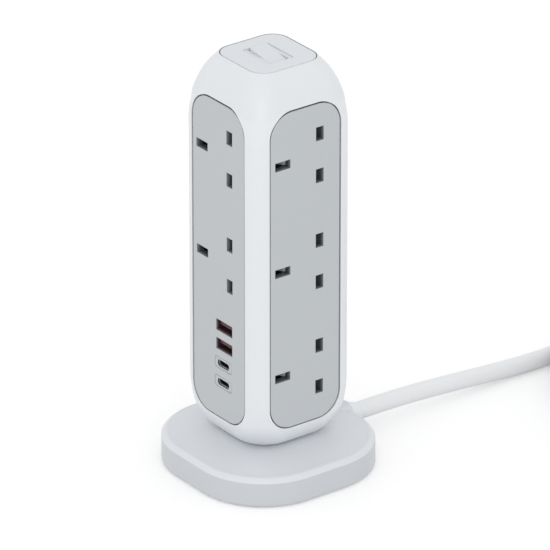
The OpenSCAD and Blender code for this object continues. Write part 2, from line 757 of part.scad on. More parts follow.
// Carriers behind the faceplates
module carrier(k) {
    wall_s = carrier_half - carrier_wall_t;
    rail_z = shield_half_z + gap;
    color("dimgray") on_face(k) difference() {
        union() {
            block([-carrier_half, carrier_half], [carrier_d, carrier_back_d],
                [carrier_z0, carrier_z1]);
            for (i = [-1, 1]) {
                block(i > 0 ? [wall_s, carrier_half] : [-carrier_half, -wall_s],
                    [collar_end_d + slack, carrier_back_d], [carrier_z0, carrier_z1]);
                for (z = [row_z(-1 / 2), row_z(1 / 2)])
                    block(i > 0 ? [wall_s, carrier_tab_half] : [-carrier_tab_half, -wall_s],
                        [carrier_tab_d, carrier_tab_d + carrier_tab_t],
                        [z - carrier_tab_h / 2, z + carrier_tab_h / 2]);
            }
            for (r = rows(k)) translate([0, 0, row_z(r)]) {
                for (i = [-1, 1])
                    block([rail_s0, carrier_half], [collar_end_d + slack, carrier_d],
                        i > 0 ? [rail_z, rail_z + rail_t] : [-rail_z - rail_t, -rail_z]);
                for (i = [-1, 1])
                    block([shield_s0 - gap - rail_t, shield_s0 - gap],
                        [collar_end_d + slack, carrier_d],
                        i > 0 ? [shield_half_z - 2 * rail_t, rail_z + rail_t]
                              : [-rail_z - rail_t, -shield_half_z + 2 * rail_t]);
                block([wall_s, carrier_half], [spring_pad_d, carrier_d],
                    [-nub_half_z, nub_half_z]);
                translate([wall_s, spring_d, 0]) rotate([0, -90, 0])
                    cylinder(r = spring_peg_r, h = spring_peg_l, $fn = small);
            }
        }
        for (r = rows(k)) translate([0, 0, row_z(r)]) {
            for (i = [-1, 1])
                block([line_s - line_slot[0] / 2 - slack, line_s + line_slot[0] / 2 + slack],
                    [shutter_d, carrier_back_d + overrun],
                    [i * pin_pitch / 2 - line_slot[1] / 2 - slack,
                     i * pin_pitch / 2 + line_slot[1] / 2 + slack]);
            block([earth_s - earth_slot[0] / 2 - gap, ramp_back_s + shutter_travel + gap],
                [shutter_d, carrier_back_d + overrun],
                [-earth_slot[1] / 2 - slack, earth_slot[1] / 2 + slack]);
        }
        for (z = screw_heights(k))
            rod_d(0, z, screw_r + slack, carrier_d - overrun, carrier_back_d + overrun);
        if (k == 0) block([-usb_window_half, usb_window_half],
            [carrier_d - overrun, carrier_back_d + overrun], [usb_window_z0, usb_window_z1]);
    }
}
module carrier_screws() {
    color("silver") for (k = [0:3], z = screw_heights(k)) on_face(k) union() {
        rod_d(0, z, screw_r, panel_back_d + gap, carrier_back_d);
        rod_d(0, z, screw_head_r, carrier_back_d, carrier_back_d + screw_head_t);
    }
}

// Shutters and their springs
module shutter(k, row) {
    color("gainsboro") on_face(k) translate([0, 0, row_z(row)]) union() {
        difference() {
            union() {
                block([shield_s0, shield_s1], [shutter_d, shutter_d + shutter_t],
                    [-shield_half_z, shield_half_z]);
                block([arm_s0, shield_s0 + overrun], [shutter_d, shutter_d + shutter_t],
                    [-arm_half_z, arm_half_z]);
            }
            block([notch_s0, shield_s1 + overrun], [shutter_d - overrun, carrier_d],
                [-notch_half_z, notch_half_z]);
        }
        translate([0, 0, -ramp_half_z]) linear_extrude(2 * ramp_half_z) polygon([
            [ramp_top_s, ramp_top_d], [ramp_back_s, ramp_top_d], [ramp_back_s, ramp_deep_d],
            [ramp_top_s - (ramp_deep_d - ramp_top_d), ramp_deep_d]
        ]);
        block([notch_s0 - nub_t, notch_s0], [nub_d, shutter_d + shutter_t],
            [-nub_half_z, nub_half_z]);
        translate([notch_s0, spring_d, 0]) rotate([0, 90, 0])
            cylinder(r = spring_peg_r, h = spring_peg_l, $fn = small);
    }
}
function helix(n, l) = [for (i = [0:n]) let (a = 360 * i / spring_steps)
    [l * i / n, spring_r * cos(a), spring_r * sin(a)]];
module springs(k) {
    color("silver") on_face(k) for (r = rows(k))
        translate([spring_s0 + spring_wire_r, spring_d, row_z(r)])
            tube(helix(spring_curls * spring_steps,
                spring_s1 - spring_s0 - 2 * spring_wire_r),
                spring_wire_r, spring_sides, [1, 0, 0]);
}

// Contacts, their rails, and the ring that joins the rails of the four faces
module bar_and_ring(s, z_low, ring_z) {
    for (k = [0:3]) on_face(k)
        block([s, s + bar_w], [contact_d, contact_d + bar_t],
            [row_z(rows(k)[0]) + z_low, ring_z + bar_t]);
    for (k = [0:3]) on_face(k)
        block([s, s + bar_w], [contact_d, tower_half - ring_in], [ring_z, ring_z + bar_t]);
    difference() {
        block([-ring_out, ring_out], [-ring_out, ring_out], [ring_z, ring_z + bar_t]);
        block([-ring_in, ring_in], [-ring_in, ring_in],
            [ring_z - overrun, ring_z + bar_t + overrun]);
    }
}
module line_grip(z) {
    half = pin_line[0] / 2 + grip_gap;
    translate([line_s, contact_d, z - line_grip_h / 2]) linear_extrude(line_grip_h) polygon([
        [-half - brass_t, 0], [-half, 0], [-half, line_grip_l - brass_t],
        [half, line_grip_l - brass_t], [half, 0], [half + brass_t, 0],
        [half + brass_t, line_grip_l], [-half - brass_t, line_grip_l]
    ]);
}
module line_set(side, s, tab_s, ring_z) {
    union() {
        bar_and_ring(s, side * pin_pitch / 2 - line_grip_h / 2, ring_z);
        for (k = [0:3], r = rows(k)) on_face(k) {
            line_grip(row_z(r) + side * pin_pitch / 2);
            block(tab_s, [contact_d, contact_d + brass_t],
                [row_z(r) + side * pin_pitch / 2 - line_grip_h / 2,
                 row_z(r) + side * pin_pitch / 2 + line_grip_h / 2]);
        }
    }
}
grip_out = pin_line[0] / 2 + grip_gap + brass_t;
module live_busbars() {
    color("goldenrod") union() {
        line_set(1, live_bar_s, [line_s + grip_out - brass_t / 2, live_bar_s], live_ring_z);
        block([load_blade_x + brass_t / 2, ring_in], [-blade_half_w, blade_half_w],
            [live_ring_z, live_ring_z + bar_t]);
    }
}
module neutral_busbars() {
    color("goldenrod") line_set(-1, neutral_bar_s,
        [neutral_bar_s + bar_w, line_s - grip_out + brass_t / 2], neutral_ring_z);
}
module earth_busbars() {
    half = pin_earth[1] / 2 + grip_gap;
    bridge_s = earth_bar_s - brass_t;
    color("goldenrod") union() {
        bar_and_ring(earth_bar_s, -half - brass_t, earth_ring_z);
        for (k = [0:3], r = rows(k)) on_face(k) translate([0, 0, row_z(r)]) {
            for (i = [-1, 1])
                block([earth_s - earth_grip_w / 2, bridge_s + brass_t],
                    [contact_d, contact_d + earth_grip_l],
                    i > 0 ? [half, half + brass_t] : [-half - brass_t, -half]);
            block([bridge_s, earth_bar_s], [contact_d, contact_d + bar_t],
                [-half - brass_t, half + brass_t]);
        }
    }
}

// Wires from the sheath's end up the middle of the tower
function rise(x, y, z_top) = concat(
    [[x, inner_end_y, exit_z + y]],
    [for (a = [0:wire_bend_step:90])
        [x, y + wire_bend_r * (1 - sin(a)), exit_z + y + wire_bend_r * (1 - cos(a))]],
    [[x, y, seat_z + tower_gap], [x, y, (seat_z + z_top) / 2], [x, y, z_top]]
);
function turn(x, y, z, side) = [
    [x + side * wire_r, y, z - wire_spread], [x + side * wire_spread, y, z],
    [x + side * 2 * wire_spread, y, z], [side * ring_in, y, z]
];
module live_wire() {
    color("saddlebrown") tube(rise(0, wire_spread, common_foot_z), wire_r, wire_sides,
        wire_up);
}
module side_wire(side, ring_z) {
    x = side * wire_spread;
    y = -wire_spread / 2;
    z = ring_z + bar_t / 2;
    tube(concat(rise(x, y, z - 3 * wire_spread), turn(x, y, z, side)), wire_r, wire_sides,
        wire_up);
}
module neutral_wire() {
    color("royalblue") side_wire(1, neutral_ring_z);
}
module earth_wire() {
    color("limegreen") side_wire(-1, earth_ring_z);
}

// USB ports and their charger
function pillar_heights() = [usb_z(3), usb_z(0)];
module usb_a_hole(z) {
    grow = usb_shell_t + slack;
    block([usb_a_s - usb_a_mouth[0] / 2 - grow, usb_a_s + usb_a_mouth[0] / 2 + grow],
        [0, panel_back_d + overrun],
        [z - usb_a_mouth[1] / 2 - grow, z + usb_a_mouth[1] / 2 + grow]);
}
module usb_c_hole(z) {
    translate([usb_c_s, 0, z]) depths(0, panel_back_d + overrun)
        rounded(usb_c_trim[0] + 2 * slack, usb_c_trim[1] + 2 * slack, usb_trim_corner_r + slack);
}
module usb_a_shells() {
    color("silver") on_face(0) for (i = [0, 1]) translate([usb_a_s, 0, usb_z(i)])
        difference() {
            block([-usb_a_mouth[0] / 2 - usb_shell_t, usb_a_mouth[0] / 2 + usb_shell_t],
                [usb_shell_d, usb_back_d],
                [-usb_a_mouth[1] / 2 - usb_shell_t, usb_a_mouth[1] / 2 + usb_shell_t]);
            block([-usb_a_mouth[0] / 2, usb_a_mouth[0] / 2],
                [usb_shell_d - overrun, usb_back_d + overrun],
                [-usb_a_mouth[1] / 2, usb_a_mouth[1] / 2]);
        }
}
module usb_a_tongues() {
    color("maroon") on_face(0) for (i = [0, 1]) translate([usb_a_s, 0, usb_z(i)]) union() {
        block([-usb_a_mouth[0] / 2 + slack, usb_a_mouth[0] / 2 - slack],
            [usb_back_d - usb_block_l, usb_back_d],
            [-usb_a_mouth[1] / 2 + slack, usb_a_mouth[1] / 2 - slack]);
        block([-usb_a_tongue[0] / 2, usb_a_tongue[0] / 2],
            [usb_a_tongue_d, usb_back_d - usb_block_l + slack],
            [usb_a_tongue_rise - usb_a_tongue[1] / 2, usb_a_tongue_rise + usb_a_tongue[1] / 2]);
    }
}
module usb_c_shells() {
    w = usb_c_mouth[0];
    h = usb_c_mouth[1];
    color("silver") on_face(0) for (i = [2, 3]) translate([usb_c_s, 0, usb_z(i)])
        difference() {
            depths(usb_c_shell_d, usb_back_d)
                rounded(w + 2 * usb_shell_t, h + 2 * usb_shell_t, h / 2 + usb_shell_t - slack);
            depths(usb_c_shell_d - overrun, usb_back_d + overrun)
                rounded(w, h, h / 2 - slack);
        }
}
module usb_c_tongues() {
    w = usb_c_mouth[0] - 2 * slack;
    h = usb_c_mouth[1] - 2 * slack;
    color("black") on_face(0) for (i = [2, 3]) translate([usb_c_s, 0, usb_z(i)]) union() {
        depths(usb_back_d - usb_block_l, usb_back_d) rounded(w, h, h / 2 - slack);
        block([-usb_c_tongue[0] / 2, usb_c_tongue[0] / 2],
            [usb_c_tongue_d, usb_back_d - usb_block_l + slack],
            [-usb_c_tongue[1] / 2, usb_c_tongue[1] / 2]);
    }
}
module usb_c_trims() {
    grow = usb_shell_t + slack;
    color("lightgray") on_face(0) for (i = [2, 3]) translate([usb_c_s, 0, usb_z(i)])
        difference() {
            depths(panel_inset, panel_inset + usb_trim_t)
                rounded(usb_c_trim[0], usb_c_trim[1], usb_trim_corner_r);
            depths(0, panel_inset + usb_trim_t + overrun)
                rounded(usb_c_mouth[0] + 2 * grow, usb_c_mouth[1] + 2 * grow,
                    usb_c_mouth[1] / 2 + grow - slack);
        }
}
module usb_board() {
    color("seagreen") on_face(0) difference() {
        block([board_s0, board_s1], [usb_back_d, usb_back_d + board_t],
            [usb_z(3) - board_margin, usb_z(0) + board_margin]);
        for (z = pillar_heights())
            rod_d(pillar_s, z, screw_r + slack, usb_back_d - overrun,
                usb_back_d + board_t + overrun);
    }
}
module board_screws() {
    back = usb_back_d + board_t;
    color("silver") on_face(0) for (z = pillar_heights()) union() {
        rod_d(pillar_s, z, screw_r, panel_back_d + gap, back);
        rod_d(pillar_s, z, screw_head_r, back, back + screw_head_t);
    }
}
module usb_power_parts() {
    back = usb_back_d + board_t;
    z0 = usb_z(3);
    color("darkkhaki") on_face(0) {
        block([board_s1 - coil_part[0], board_s1], [back, back + coil_part[1]],
            [z0, z0 + coil_part[2]]);
        for (i = [0, 1]) rod_d(board_s1 - can_r - i * (2 * can_r + seam),
            usb_z(1), can_r, back, back + can_h);
        for (i = [0, 1]) block([board_s1 - chip[0] - i * (chip[0] + chip[1]),
                board_s1 - i * (chip[0] + chip[1])],
            [back, back + chip[1]], [usb_z(0) - chip[2] / 2, usb_z(0) + chip[2] / 2]);
    }
}

// Cord: the straight run, and the coil, which is wound in, out and in again in three layers
// and then climbs onto them, to the plug
module cord_run() {
    color("whitesmoke") tube(run_points, cord_d / 2, run_sides);
}
function ease(x) = x <= 0 ? 0 : x >= 1 ? 1 : x * x * (3 - 2 * x);
function soft_root(x) = sqrt(x * x + coil_soft_share * coil_soft_share);
function coil_r(u) = coil_in_r + coil_pitch * (
    soft_root(u - coil_turns) - coil_soft_share
    - (u - 2 * coil_turns + soft_root(u - 2 * coil_turns))
    + (u - 3 * coil_turns + soft_root(u - 3 * coil_turns)) / 2);
function layer_step(u) = ease(2 * u + 0.5);
function coil_z(u) = cord_d / 2
    + coil_pitch * (layer_step(u - coil_turns) + layer_step(u - 2 * coil_turns)
        + layer_step(u - 3 * coil_turns))
    + tail_rise * ease((u - coil_last_turn + rise_turns) / rise_turns);
function coil_point(u) =
    [coil_r(0) - coil_r(u) * cos(360 * u), coil_y + coil_r(u) * sin(360 * u), coil_z(u)];
function coil_run(u) = [sin(360 * u), cos(360 * u), 0];
cord_end = coil_point(coil_last_turn) + coil_end_l * coil_run(coil_last_turn);
coil_path = concat(
    [for (l = coil_lead) [0, coil_y - l, cord_d / 2]],
    [for (i = [0:coil_last_turn * coil_steps]) coil_point(i / coil_steps)],
    [cord_end]
);
// Least gap between loops: points that are over half a turn apart along the coil
coil_gaps = [for (i = [0:2:len(coil_path) - 1], j = [i + 12:len(coil_path) - 1])
    norm(coil_path[i] - coil_path[j]) - cord_d];
module cord_coil() {
    echo(least_gap_of_coil = min(coil_gaps));
    color("whitesmoke") tube(coil_path, cord_d / 2, coil_sides);
}

// Plug: lies on the coil with the pins up. Its u runs on from the cord's end
module at_plug() {
    translate([cord_end[0], cord_end[1], plug_z]) rotate([0, 0, -360 * coil_last_turn])
        translate([0, sleeve_l, 0]) children();
}
module plug_outline(shrink) {
    translate([0, plug_size[1] / 2])
        rounded(plug_size[0] - 2 * shrink, plug_size[1] - 2 * shrink, plug_corner_r - shrink);
}
module pin_places(grow, root_z, line_top, earth_top) {
    for (i = [-1, 1]) block([i * pin_pitch / 2 - pin_line[1] / 2 - grow,
            i * pin_pitch / 2 + pin_line[1] / 2 + grow],
        [plug_line_u - pin_line[0] / 2 - grow, plug_line_u + pin_line[0] / 2 + grow],
        [root_z, line_top]);
    block([-pin_earth[1] / 2 - grow, pin_earth[1] / 2 + grow],
        [plug_line_u + earth_reach - pin_earth[0] / 2 - grow,
         plug_line_u + earth_reach + pin_earth[0] / 2 + grow], [root_z, earth_top]);
}
module fuse_rod(r, grow) {
    translate([pin_pitch / 2 + pin_line[1] / 2 + fuse_r + seam, fuse_u - grow,
        plug_axis_z + fuse_drop + fuse_r]) rotate([-90, 0, 0])
        cylinder(r = r, h = fuse_l + 2 * grow, $fn = small);
}
module plug_body() {
    color("white") at_plug() difference() {
        union() {
            translate([0, 0, plug_axis_z + slack]) linear_extrude(plug_axis_z - slack)
                plug_outline(0);
            translate([0, 0, plug_axis_z]) rotate([90, 0, 0])
                cylinder(r1 = sleeve_r[0], r2 = sleeve_r[1], h = sleeve_l, $fn = fine);
        }
        pin_places(thread_gap, plug_t - pin_root - thread_gap, plug_t + overrun,
            plug_t + overrun);
        fuse_rod(fuse_r + thread_gap, slack);
    }
}
module plug_cover() {
    color("white") at_plug() linear_extrude(plug_axis_z) plug_outline(0);
}
module plug_pins() {
    color("goldenrod") at_plug()
        pin_places(0, plug_t - pin_root, plug_t + pin_line_l, plug_t + pin_earth_l);
}
module plug_fuse() {
    color("tan") at_plug() fuse_rod(fuse_r, 0);
}

base_shell();
base_plate();
rubber_feet();
base_screws();
tower_screws();
cord_clamp();
clamp_screws();
cord_gland();
cord_inner_end();
tower_housing();
tower_floor();
top_cap();
switch_case();
switch_rocker();
switch_contact();
switch_terminals();
faceplate(0);  // front_faceplate
faceplate(1);  // right_faceplate
faceplate(2);  // back_faceplate
faceplate(3);  // left_faceplate
carrier(0);  // front_carrier
carrier(1);  // right_carrier
carrier(2);  // back_carrier
carrier(3);  // left_carrier
carrier_screws();
shutter(0, 0);  // front_shutter_lower
shutter(0, 1);  // front_shutter_upper
shutter(1, -1);  // right_shutter_lower
shutter(1, 0);  // right_shutter_middle
shutter(1, 1);  // right_shutter_upper
shutter(2, -1);  // back_shutter_lower
shutter(2, 0);  // back_shutter_middle
shutter(2, 1);  // back_shutter_upper
shutter(3, -1);  // left_shutter_lower
shutter(3, 0);  // left_shutter_middle
shutter(3, 1);  // left_shutter_upper
springs(0);  // front_springs
springs(1);  // right_springs
springs(2);  // back_springs
springs(3);  // left_springs
live_busbars();
neutral_busbars();
earth_busbars();
live_wire();
neutral_wire();
earth_wire();
usb_board();
usb_power_parts();
board_screws();
usb_a_shells();
usb_a_tongues();
usb_c_shells();
usb_c_tongues();
usb_c_trims();
cord_run();
cord_coil();
plug_body();
plug_cover();
plug_pins();
plug_fuse();
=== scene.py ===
"""Looks for a mains charging tower.

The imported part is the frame: every node keeps its place. Smooth shells, the cord and the finer
pieces are built round it, and every piece gets its own finish. All lengths are in metres."""

import json
import math

import bmesh
import bpy
from mathutils import Matrix, Vector


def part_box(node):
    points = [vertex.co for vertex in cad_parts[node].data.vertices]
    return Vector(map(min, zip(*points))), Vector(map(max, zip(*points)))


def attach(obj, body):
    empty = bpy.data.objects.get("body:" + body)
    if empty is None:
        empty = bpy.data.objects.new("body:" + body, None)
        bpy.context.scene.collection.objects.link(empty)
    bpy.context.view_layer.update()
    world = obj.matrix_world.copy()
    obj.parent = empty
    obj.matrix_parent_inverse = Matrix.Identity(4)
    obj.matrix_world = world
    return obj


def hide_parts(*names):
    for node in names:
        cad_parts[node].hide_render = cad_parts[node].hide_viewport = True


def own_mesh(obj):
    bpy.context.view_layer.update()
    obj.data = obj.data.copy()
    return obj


bl_info = {
    "name": "Charging tower looks",
    "version": (1, 0, 0),
    "blender": (4, 5, 0),
    "location": "3D View > Sidebar > Tower",
    "description": "Builds the visible pieces and finishes of a mains charging tower",
    "category": "Object",
}

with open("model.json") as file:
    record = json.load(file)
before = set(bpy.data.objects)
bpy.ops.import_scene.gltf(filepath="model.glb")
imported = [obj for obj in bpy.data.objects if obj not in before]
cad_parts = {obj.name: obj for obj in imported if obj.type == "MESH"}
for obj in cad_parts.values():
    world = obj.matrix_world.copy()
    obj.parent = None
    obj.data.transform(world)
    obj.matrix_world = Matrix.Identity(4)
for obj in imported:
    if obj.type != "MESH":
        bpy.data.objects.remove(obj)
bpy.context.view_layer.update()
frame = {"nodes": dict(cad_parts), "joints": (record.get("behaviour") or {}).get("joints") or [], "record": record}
NODES = frame["nodes"]
BODY_OF = {n: b for b, ns in frame["record"]["behaviour"]["bodies"].items() for n in ns}
SLOT_OF = {s["node"]: s["material_slot"] for s in frame["record"]["subparts"]}
MM = 0.001
UP = Vector((0, 0, 1))

SHELL_LOW, SHELL_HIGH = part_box("tower_housing")
BASE_LOW, BASE_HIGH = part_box("base_shell")
PANEL_LOW, PANEL_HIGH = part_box("right_faceplate")
CAP_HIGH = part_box("top_cap")[1]
GLAND_LOW, GLAND_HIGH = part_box("cord_gland")
ROOT = BODY_OF["tower_housing"]


class ShellSizes(bpy.types.PropertyGroup):
    """Sizes of the tower shell and the base"""

    dome_height: bpy.props.FloatProperty(
        name="Dome height", description="Height of the dome above the flat sides",
        default=21.2 * MM, unit="LENGTH")
    dome_reach: bpy.props.FloatProperty(
        name="Dome reach", description="Height at which the dome's curve would close",
        default=32.5 * MM, unit="LENGTH")
    dome_power: bpy.props.FloatProperty(
        name="Dome fullness", description="Power of the dome's curve", default=1.6)
    heel_height: bpy.props.FloatProperty(
        name="Heel height", description="Height of the curve under the flat sides",
        default=16 * MM, unit="LENGTH")
    heel_inset: bpy.props.FloatProperty(
        name="Heel inset", description="How far the heel draws in", default=9.6 * MM, unit="LENGTH")
    corner_radius: bpy.props.FloatProperty(
        name="Corner radius", description="Corner radius at mid height",
        default=9.3 * MM, unit="LENGTH")
    dome_swell: bpy.props.FloatProperty(
        name="Dome corner swell", description="Extra corner radius in the dome",
        default=4.6 * MM, unit="LENGTH")
    heel_swell: bpy.props.FloatProperty(
        name="Heel corner swell", description="Extra corner radius at the heel",
        default=7 * MM, unit="LENGTH")
    corner_lead: bpy.props.FloatProperty(
        name="Corner lead", description="Height over which the corners begin to swell",
        default=13 * MM, unit="LENGTH")
    wall: bpy.props.FloatProperty(
        name="Wall", description="Wall thickness of the tower", default=4 * MM, unit="LENGTH")
    window_corner: bpy.props.FloatProperty(
        name="Window corner", description="Corner radius of a faceplate",
        default=12.75 * MM, unit="LENGTH")
    seam: bpy.props.FloatProperty(
        name="Seam", description="Gap round a faceplate", default=0.7 * MM, unit="LENGTH")
    cap_seam: bpy.props.FloatProperty(
        name="Cap seam", description="Gap round the cap", default=0.45 * MM, unit="LENGTH")
    rim_round: bpy.props.FloatProperty(
        name="Rim rounding", description="Rounding of the window and cap rims",
        default=0.25 * MM, unit="LENGTH")
    base_corner: bpy.props.FloatProperty(
        name="Base corner radius", description="Corner radius of the base",
        default=37 * MM, unit="LENGTH")
    base_wall: bpy.props.FloatProperty(
        name="Base side height", description="Height of the base's upright side",
        default=12.2 * MM, unit="LENGTH")
    bevel_width: bpy.props.FloatProperty(
        name="Base bevel width", description="Width of the bevel round the base",
        default=4 * MM, unit="LENGTH")
    bevel_height: bpy.props.FloatProperty(
        name="Base bevel height", description="Height of the bevel round the base",
        default=2.6 * MM, unit="LENGTH")
    rim_slope: bpy.props.FloatProperty(
        name="Base rim slope", description="Steepness of the bevel's foot, from 0 to 1",
        default=0.62)
    crown: bpy.props.FloatProperty(
        name="Base crown", description="Rise of the base's top to the tower's seat",
        default=4.2 * MM, unit="LENGTH")
    seat_half: bpy.props.FloatProperty(
        name="Seat", description="Half width of the flat seat under the tower",
        default=21 * MM, unit="LENGTH")
    base_thickness: bpy.props.FloatProperty(
        name="Base wall", description="Wall thickness of the base", default=2.4 * MM,
        unit="LENGTH")


class CordSizes(bpy.types.PropertyGroup):
    """Sizes of the cord and its coil"""

    diameter: bpy.props.FloatProperty(
        name="Diameter", description="Diameter of the cord", default=9 * MM, unit="LENGTH")
    turns: bpy.props.FloatProperty(
        name="Turns", description="Turns of the coil in one layer", default=2.0)
    pitch: bpy.props.FloatProperty(
        name="Pitch", description="Distance between neighbouring turns and layers",
        default=9.6 * MM, unit="LENGTH")
    middle_radius: bpy.props.FloatProperty(
        name="Coil radius", description="Radius of the middle of the coil",
        default=46.5 * MM, unit="LENGTH")
    rise: bpy.props.FloatProperty(
        name="Rise", description="Share of a turn over which the cord rises to the plug",
        default=0.28)


def colour_property(name, description, value):
    return bpy.props.FloatVectorProperty(
        name=name, description=description, default=value, size=3, subtype="COLOR",
        min=0.0, max=1.0)


class FinishColours(bpy.types.PropertyGroup):
    """Colours of the finishes"""

    shell: colour_property("Shell", "Satin white of the tower shell", (0.828, 0.852, 0.880))
    # Painted shade: the base's white is set darker than the shell's.
    base: colour_property("Base", "Satin white of the base", (0.69, 0.713, 0.745))
    # Painted light: a paler white round the tower's foot.
    foot: colour_property("Foot", "White of the base round the tower's foot", (0.86, 0.885, 0.915))
    panel: colour_property("Faceplates", "Light grey of the faceplates", (0.538, 0.566, 0.588))
    cap: colour_property("Cap", "Pale grey of the cap and the switch", (0.725, 0.757, 0.788))
    # Painted shade: the grey of the seam walls stands for the shade in the narrow seams.
    seam: colour_property("Seams", "Grey of the narrow seams", (0.62, 0.63, 0.64))
    # Painted shade: a darker grey on the rocker's sides.
    rocker_side_shade: colour_property("Rocker sides", "Grey of the rocker's sides", (0.46, 0.48, 0.51))
    shutter: colour_property("Shutters", "Pale grey of the shutters", (0.60, 0.62, 0.63))
    sheath: colour_property("Cord", "Soft white of the cord", (0.86, 0.875, 0.89))
    carrier: colour_property("Carriers", "Dark grey of the inner frames", (0.02, 0.022, 0.024))
    inner: colour_property("Inner mouldings", "Grey of the hidden mouldings", (0.50, 0.51, 0.52))
    steel: colour_property("Steel", "Bright steel", (0.60, 0.60, 0.61))
    brass: colour_property("Brass", "Contact brass", (0.70, 0.50, 0.20))
    rubber: colour_property("Rubber", "Dark rubber of the feet", (0.03, 0.03, 0.032))
    # Painted reflection: the steel inside the USB-A shells tinted with the tongues' maroon.
    port_painted_reflection: colour_property("USB-A inside", "Steel with the tongue's reflection", (0.22, 0.13, 0.15))
    maroon: colour_property("USB-A tongue", "Dark maroon of the tongues", (0.075, 0.006, 0.018))
    black: colour_property("USB-C tongue", "Black of the tongues", (0.008, 0.009, 0.010))
    board: colour_property("Board", "Green of the circuit board", (0.02, 0.14, 0.06))
    brown: colour_property("Live wire", "Brown insulation", (0.14, 0.05, 0.02))
    blue: colour_property("Neutral wire", "Blue insulation", (0.02, 0.09, 0.40))
    green: colour_property("Earth wire", "Green of the earth insulation", (0.04, 0.30, 0.05))
    yellow: colour_property("Earth stripe", "Yellow of the earth insulation", (0.75, 0.60, 0.04))
    ceramic: colour_property("Fuse", "Ceramic of the fuse", (0.66, 0.55, 0.38))


class StageSettings(bpy.types.PropertyGroup):
    """Camera, floor and light"""

    azimuth: bpy.props.FloatProperty(
        name="Azimuth", description="Camera angle round the tower",
        default=math.radians(53.309), subtype="ANGLE")
    elevation: bpy.props.FloatProperty(
        name="Elevation", description="Camera angle above the horizon",
        default=math.radians(25.709), subtype="ANGLE")
    distance: bpy.props.FloatProperty(
        name="Distance", description="Camera distance", default=3.5, unit="LENGTH")
    target: bpy.props.FloatVectorProperty(
        name="Target", description="Point that the camera looks at",
        default=(1.973 * MM, 2.649 * MM, 100.86 * MM), size=3, subtype="TRANSLATION")
    lens: bpy.props.FloatProperty(
        name="Lens", description="Focal length in millimetres", default=469.67)
    ambient: bpy.props.FloatProperty(
        name="Ambient light", description="Strength of the even light from all sides",
        default=0.9)
    front_light: bpy.props.FloatProperty(
        name="Front light", description="Power of the soft light beside the camera", default=3.4)
    left_light: bpy.props.FloatProperty(
        name="Left light", description="Power of the soft light on the left", default=0.6)
    floor_tone: bpy.props.FloatProperty(
        name="Floor tone", description="How much light the floor gives back", default=0.78)
    floor_glow: bpy.props.FloatProperty(
        name="Floor whiteness", description="Brightness added to the floor's look",
        default=0.31)


def shell():
    return bpy.context.scene.tower_shell


def cord():
    return bpy.context.scene.tower_cord


def colours():
    return bpy.context.scene.tower_colours


def stage():
    return bpy.context.scene.tower_stage


# Node helpers

def add_node(tree, kind, at=(0, 0), **values):
    """A shader node with its settings and unlinked inputs."""
    node = tree.nodes.new(kind)
    node.location = at
    for key, value in values.items():
        if hasattr(node, key) and key not in node.inputs:
            setattr(node, key, value)
        else:
            node.inputs[key.replace("_", " ")].default_value = value
    return node


PLAIN_GREY = (0.8, 0.8, 0.8, 1)


def group_shell(name, inputs, outputs=("Colour",)):
    """An empty node group with a colour and named numbers, and its two end nodes."""
    tree = bpy.data.node_groups.new(name, "ShaderNodeTree")

    def new_socket(label, side):
        kind = "NodeSocketColor" if label == "Colour" else "NodeSocketFloat"
        return tree.interface.new_socket(label, in_out=side, socket_type=kind)

    for label, value in {"Colour": PLAIN_GREY, **inputs}.items():
        new_socket(label, "INPUT").default_value = value
    for label in outputs:
        new_socket(label, "OUTPUT")
    return tree, add_node(tree, "NodeGroupInput", (-900, 0)), add_node(
        tree, "NodeGroupOutput", (600, 0))


def shared(build):
    """The node group that a function builds under its own name, made on first use."""
    name = build.__name__
    if name not in bpy.data.node_groups:
        build(name)
    return bpy.data.node_groups[name]


def maths(tree, operation, a, b=None, clamp=False):
    """A Math node whose inputs are sockets or numbers; gives its output."""
    node = tree.nodes.new("ShaderNodeMath")
    node.operation = operation
    node.use_clamp = clamp
    for i, value in enumerate([a, b]):
        if value is None:
            continue
        if isinstance(value, bpy.types.NodeSocket):
            tree.links.new(value, node.inputs[i])
        else:
            node.inputs[i].default_value = value
    return node.outputs[0]


def smooth_range(tree, value, low, high, to_low=0.0, to_high=1.0):
    """A smooth step of a value between two limits."""
    node = tree.nodes.new("ShaderNodeMapRange")
    node.interpolation_type = "SMOOTHSTEP"
    tree.links.new(value, node.inputs["Value"])
    for key, number in (("From Min", low), ("From Max", high), ("To Min", to_low),
                        ("To Max", to_high)):
        node.inputs[key].default_value = number
    return node.outputs["Result"]


def split_axes(tree, output="Object"):
    """X, Y and Z of a texture coordinate."""
    spot = add_node(tree, "ShaderNodeTexCoord", (-1100, -300)).outputs[output]
    split = tree.nodes.new("ShaderNodeSeparateXYZ")
    tree.links.new(spot, split.inputs[0])
    return split.outputs


def send_colour(tree, start, end, tone):
    """Gives out the group's colour times a tone."""
    scaled = tree.nodes.new("ShaderNodeVectorMath")
    scaled.operation = "SCALE"
    tree.links.new(start.outputs["Colour"], scaled.inputs[0])
    tree.links.new(tone, scaled.inputs["Scale"])
    tree.links.new(scaled.outputs[0], end.inputs["Colour"])


def less(tree, share, least):
    """The tone that falls from 1 to the least value as a share grows."""
    loss = maths(tree, "MULTIPLY", share, maths(tree, "SUBTRACT", 1.0, least))
    return maths(tree, "SUBTRACT", 1.0, loss)


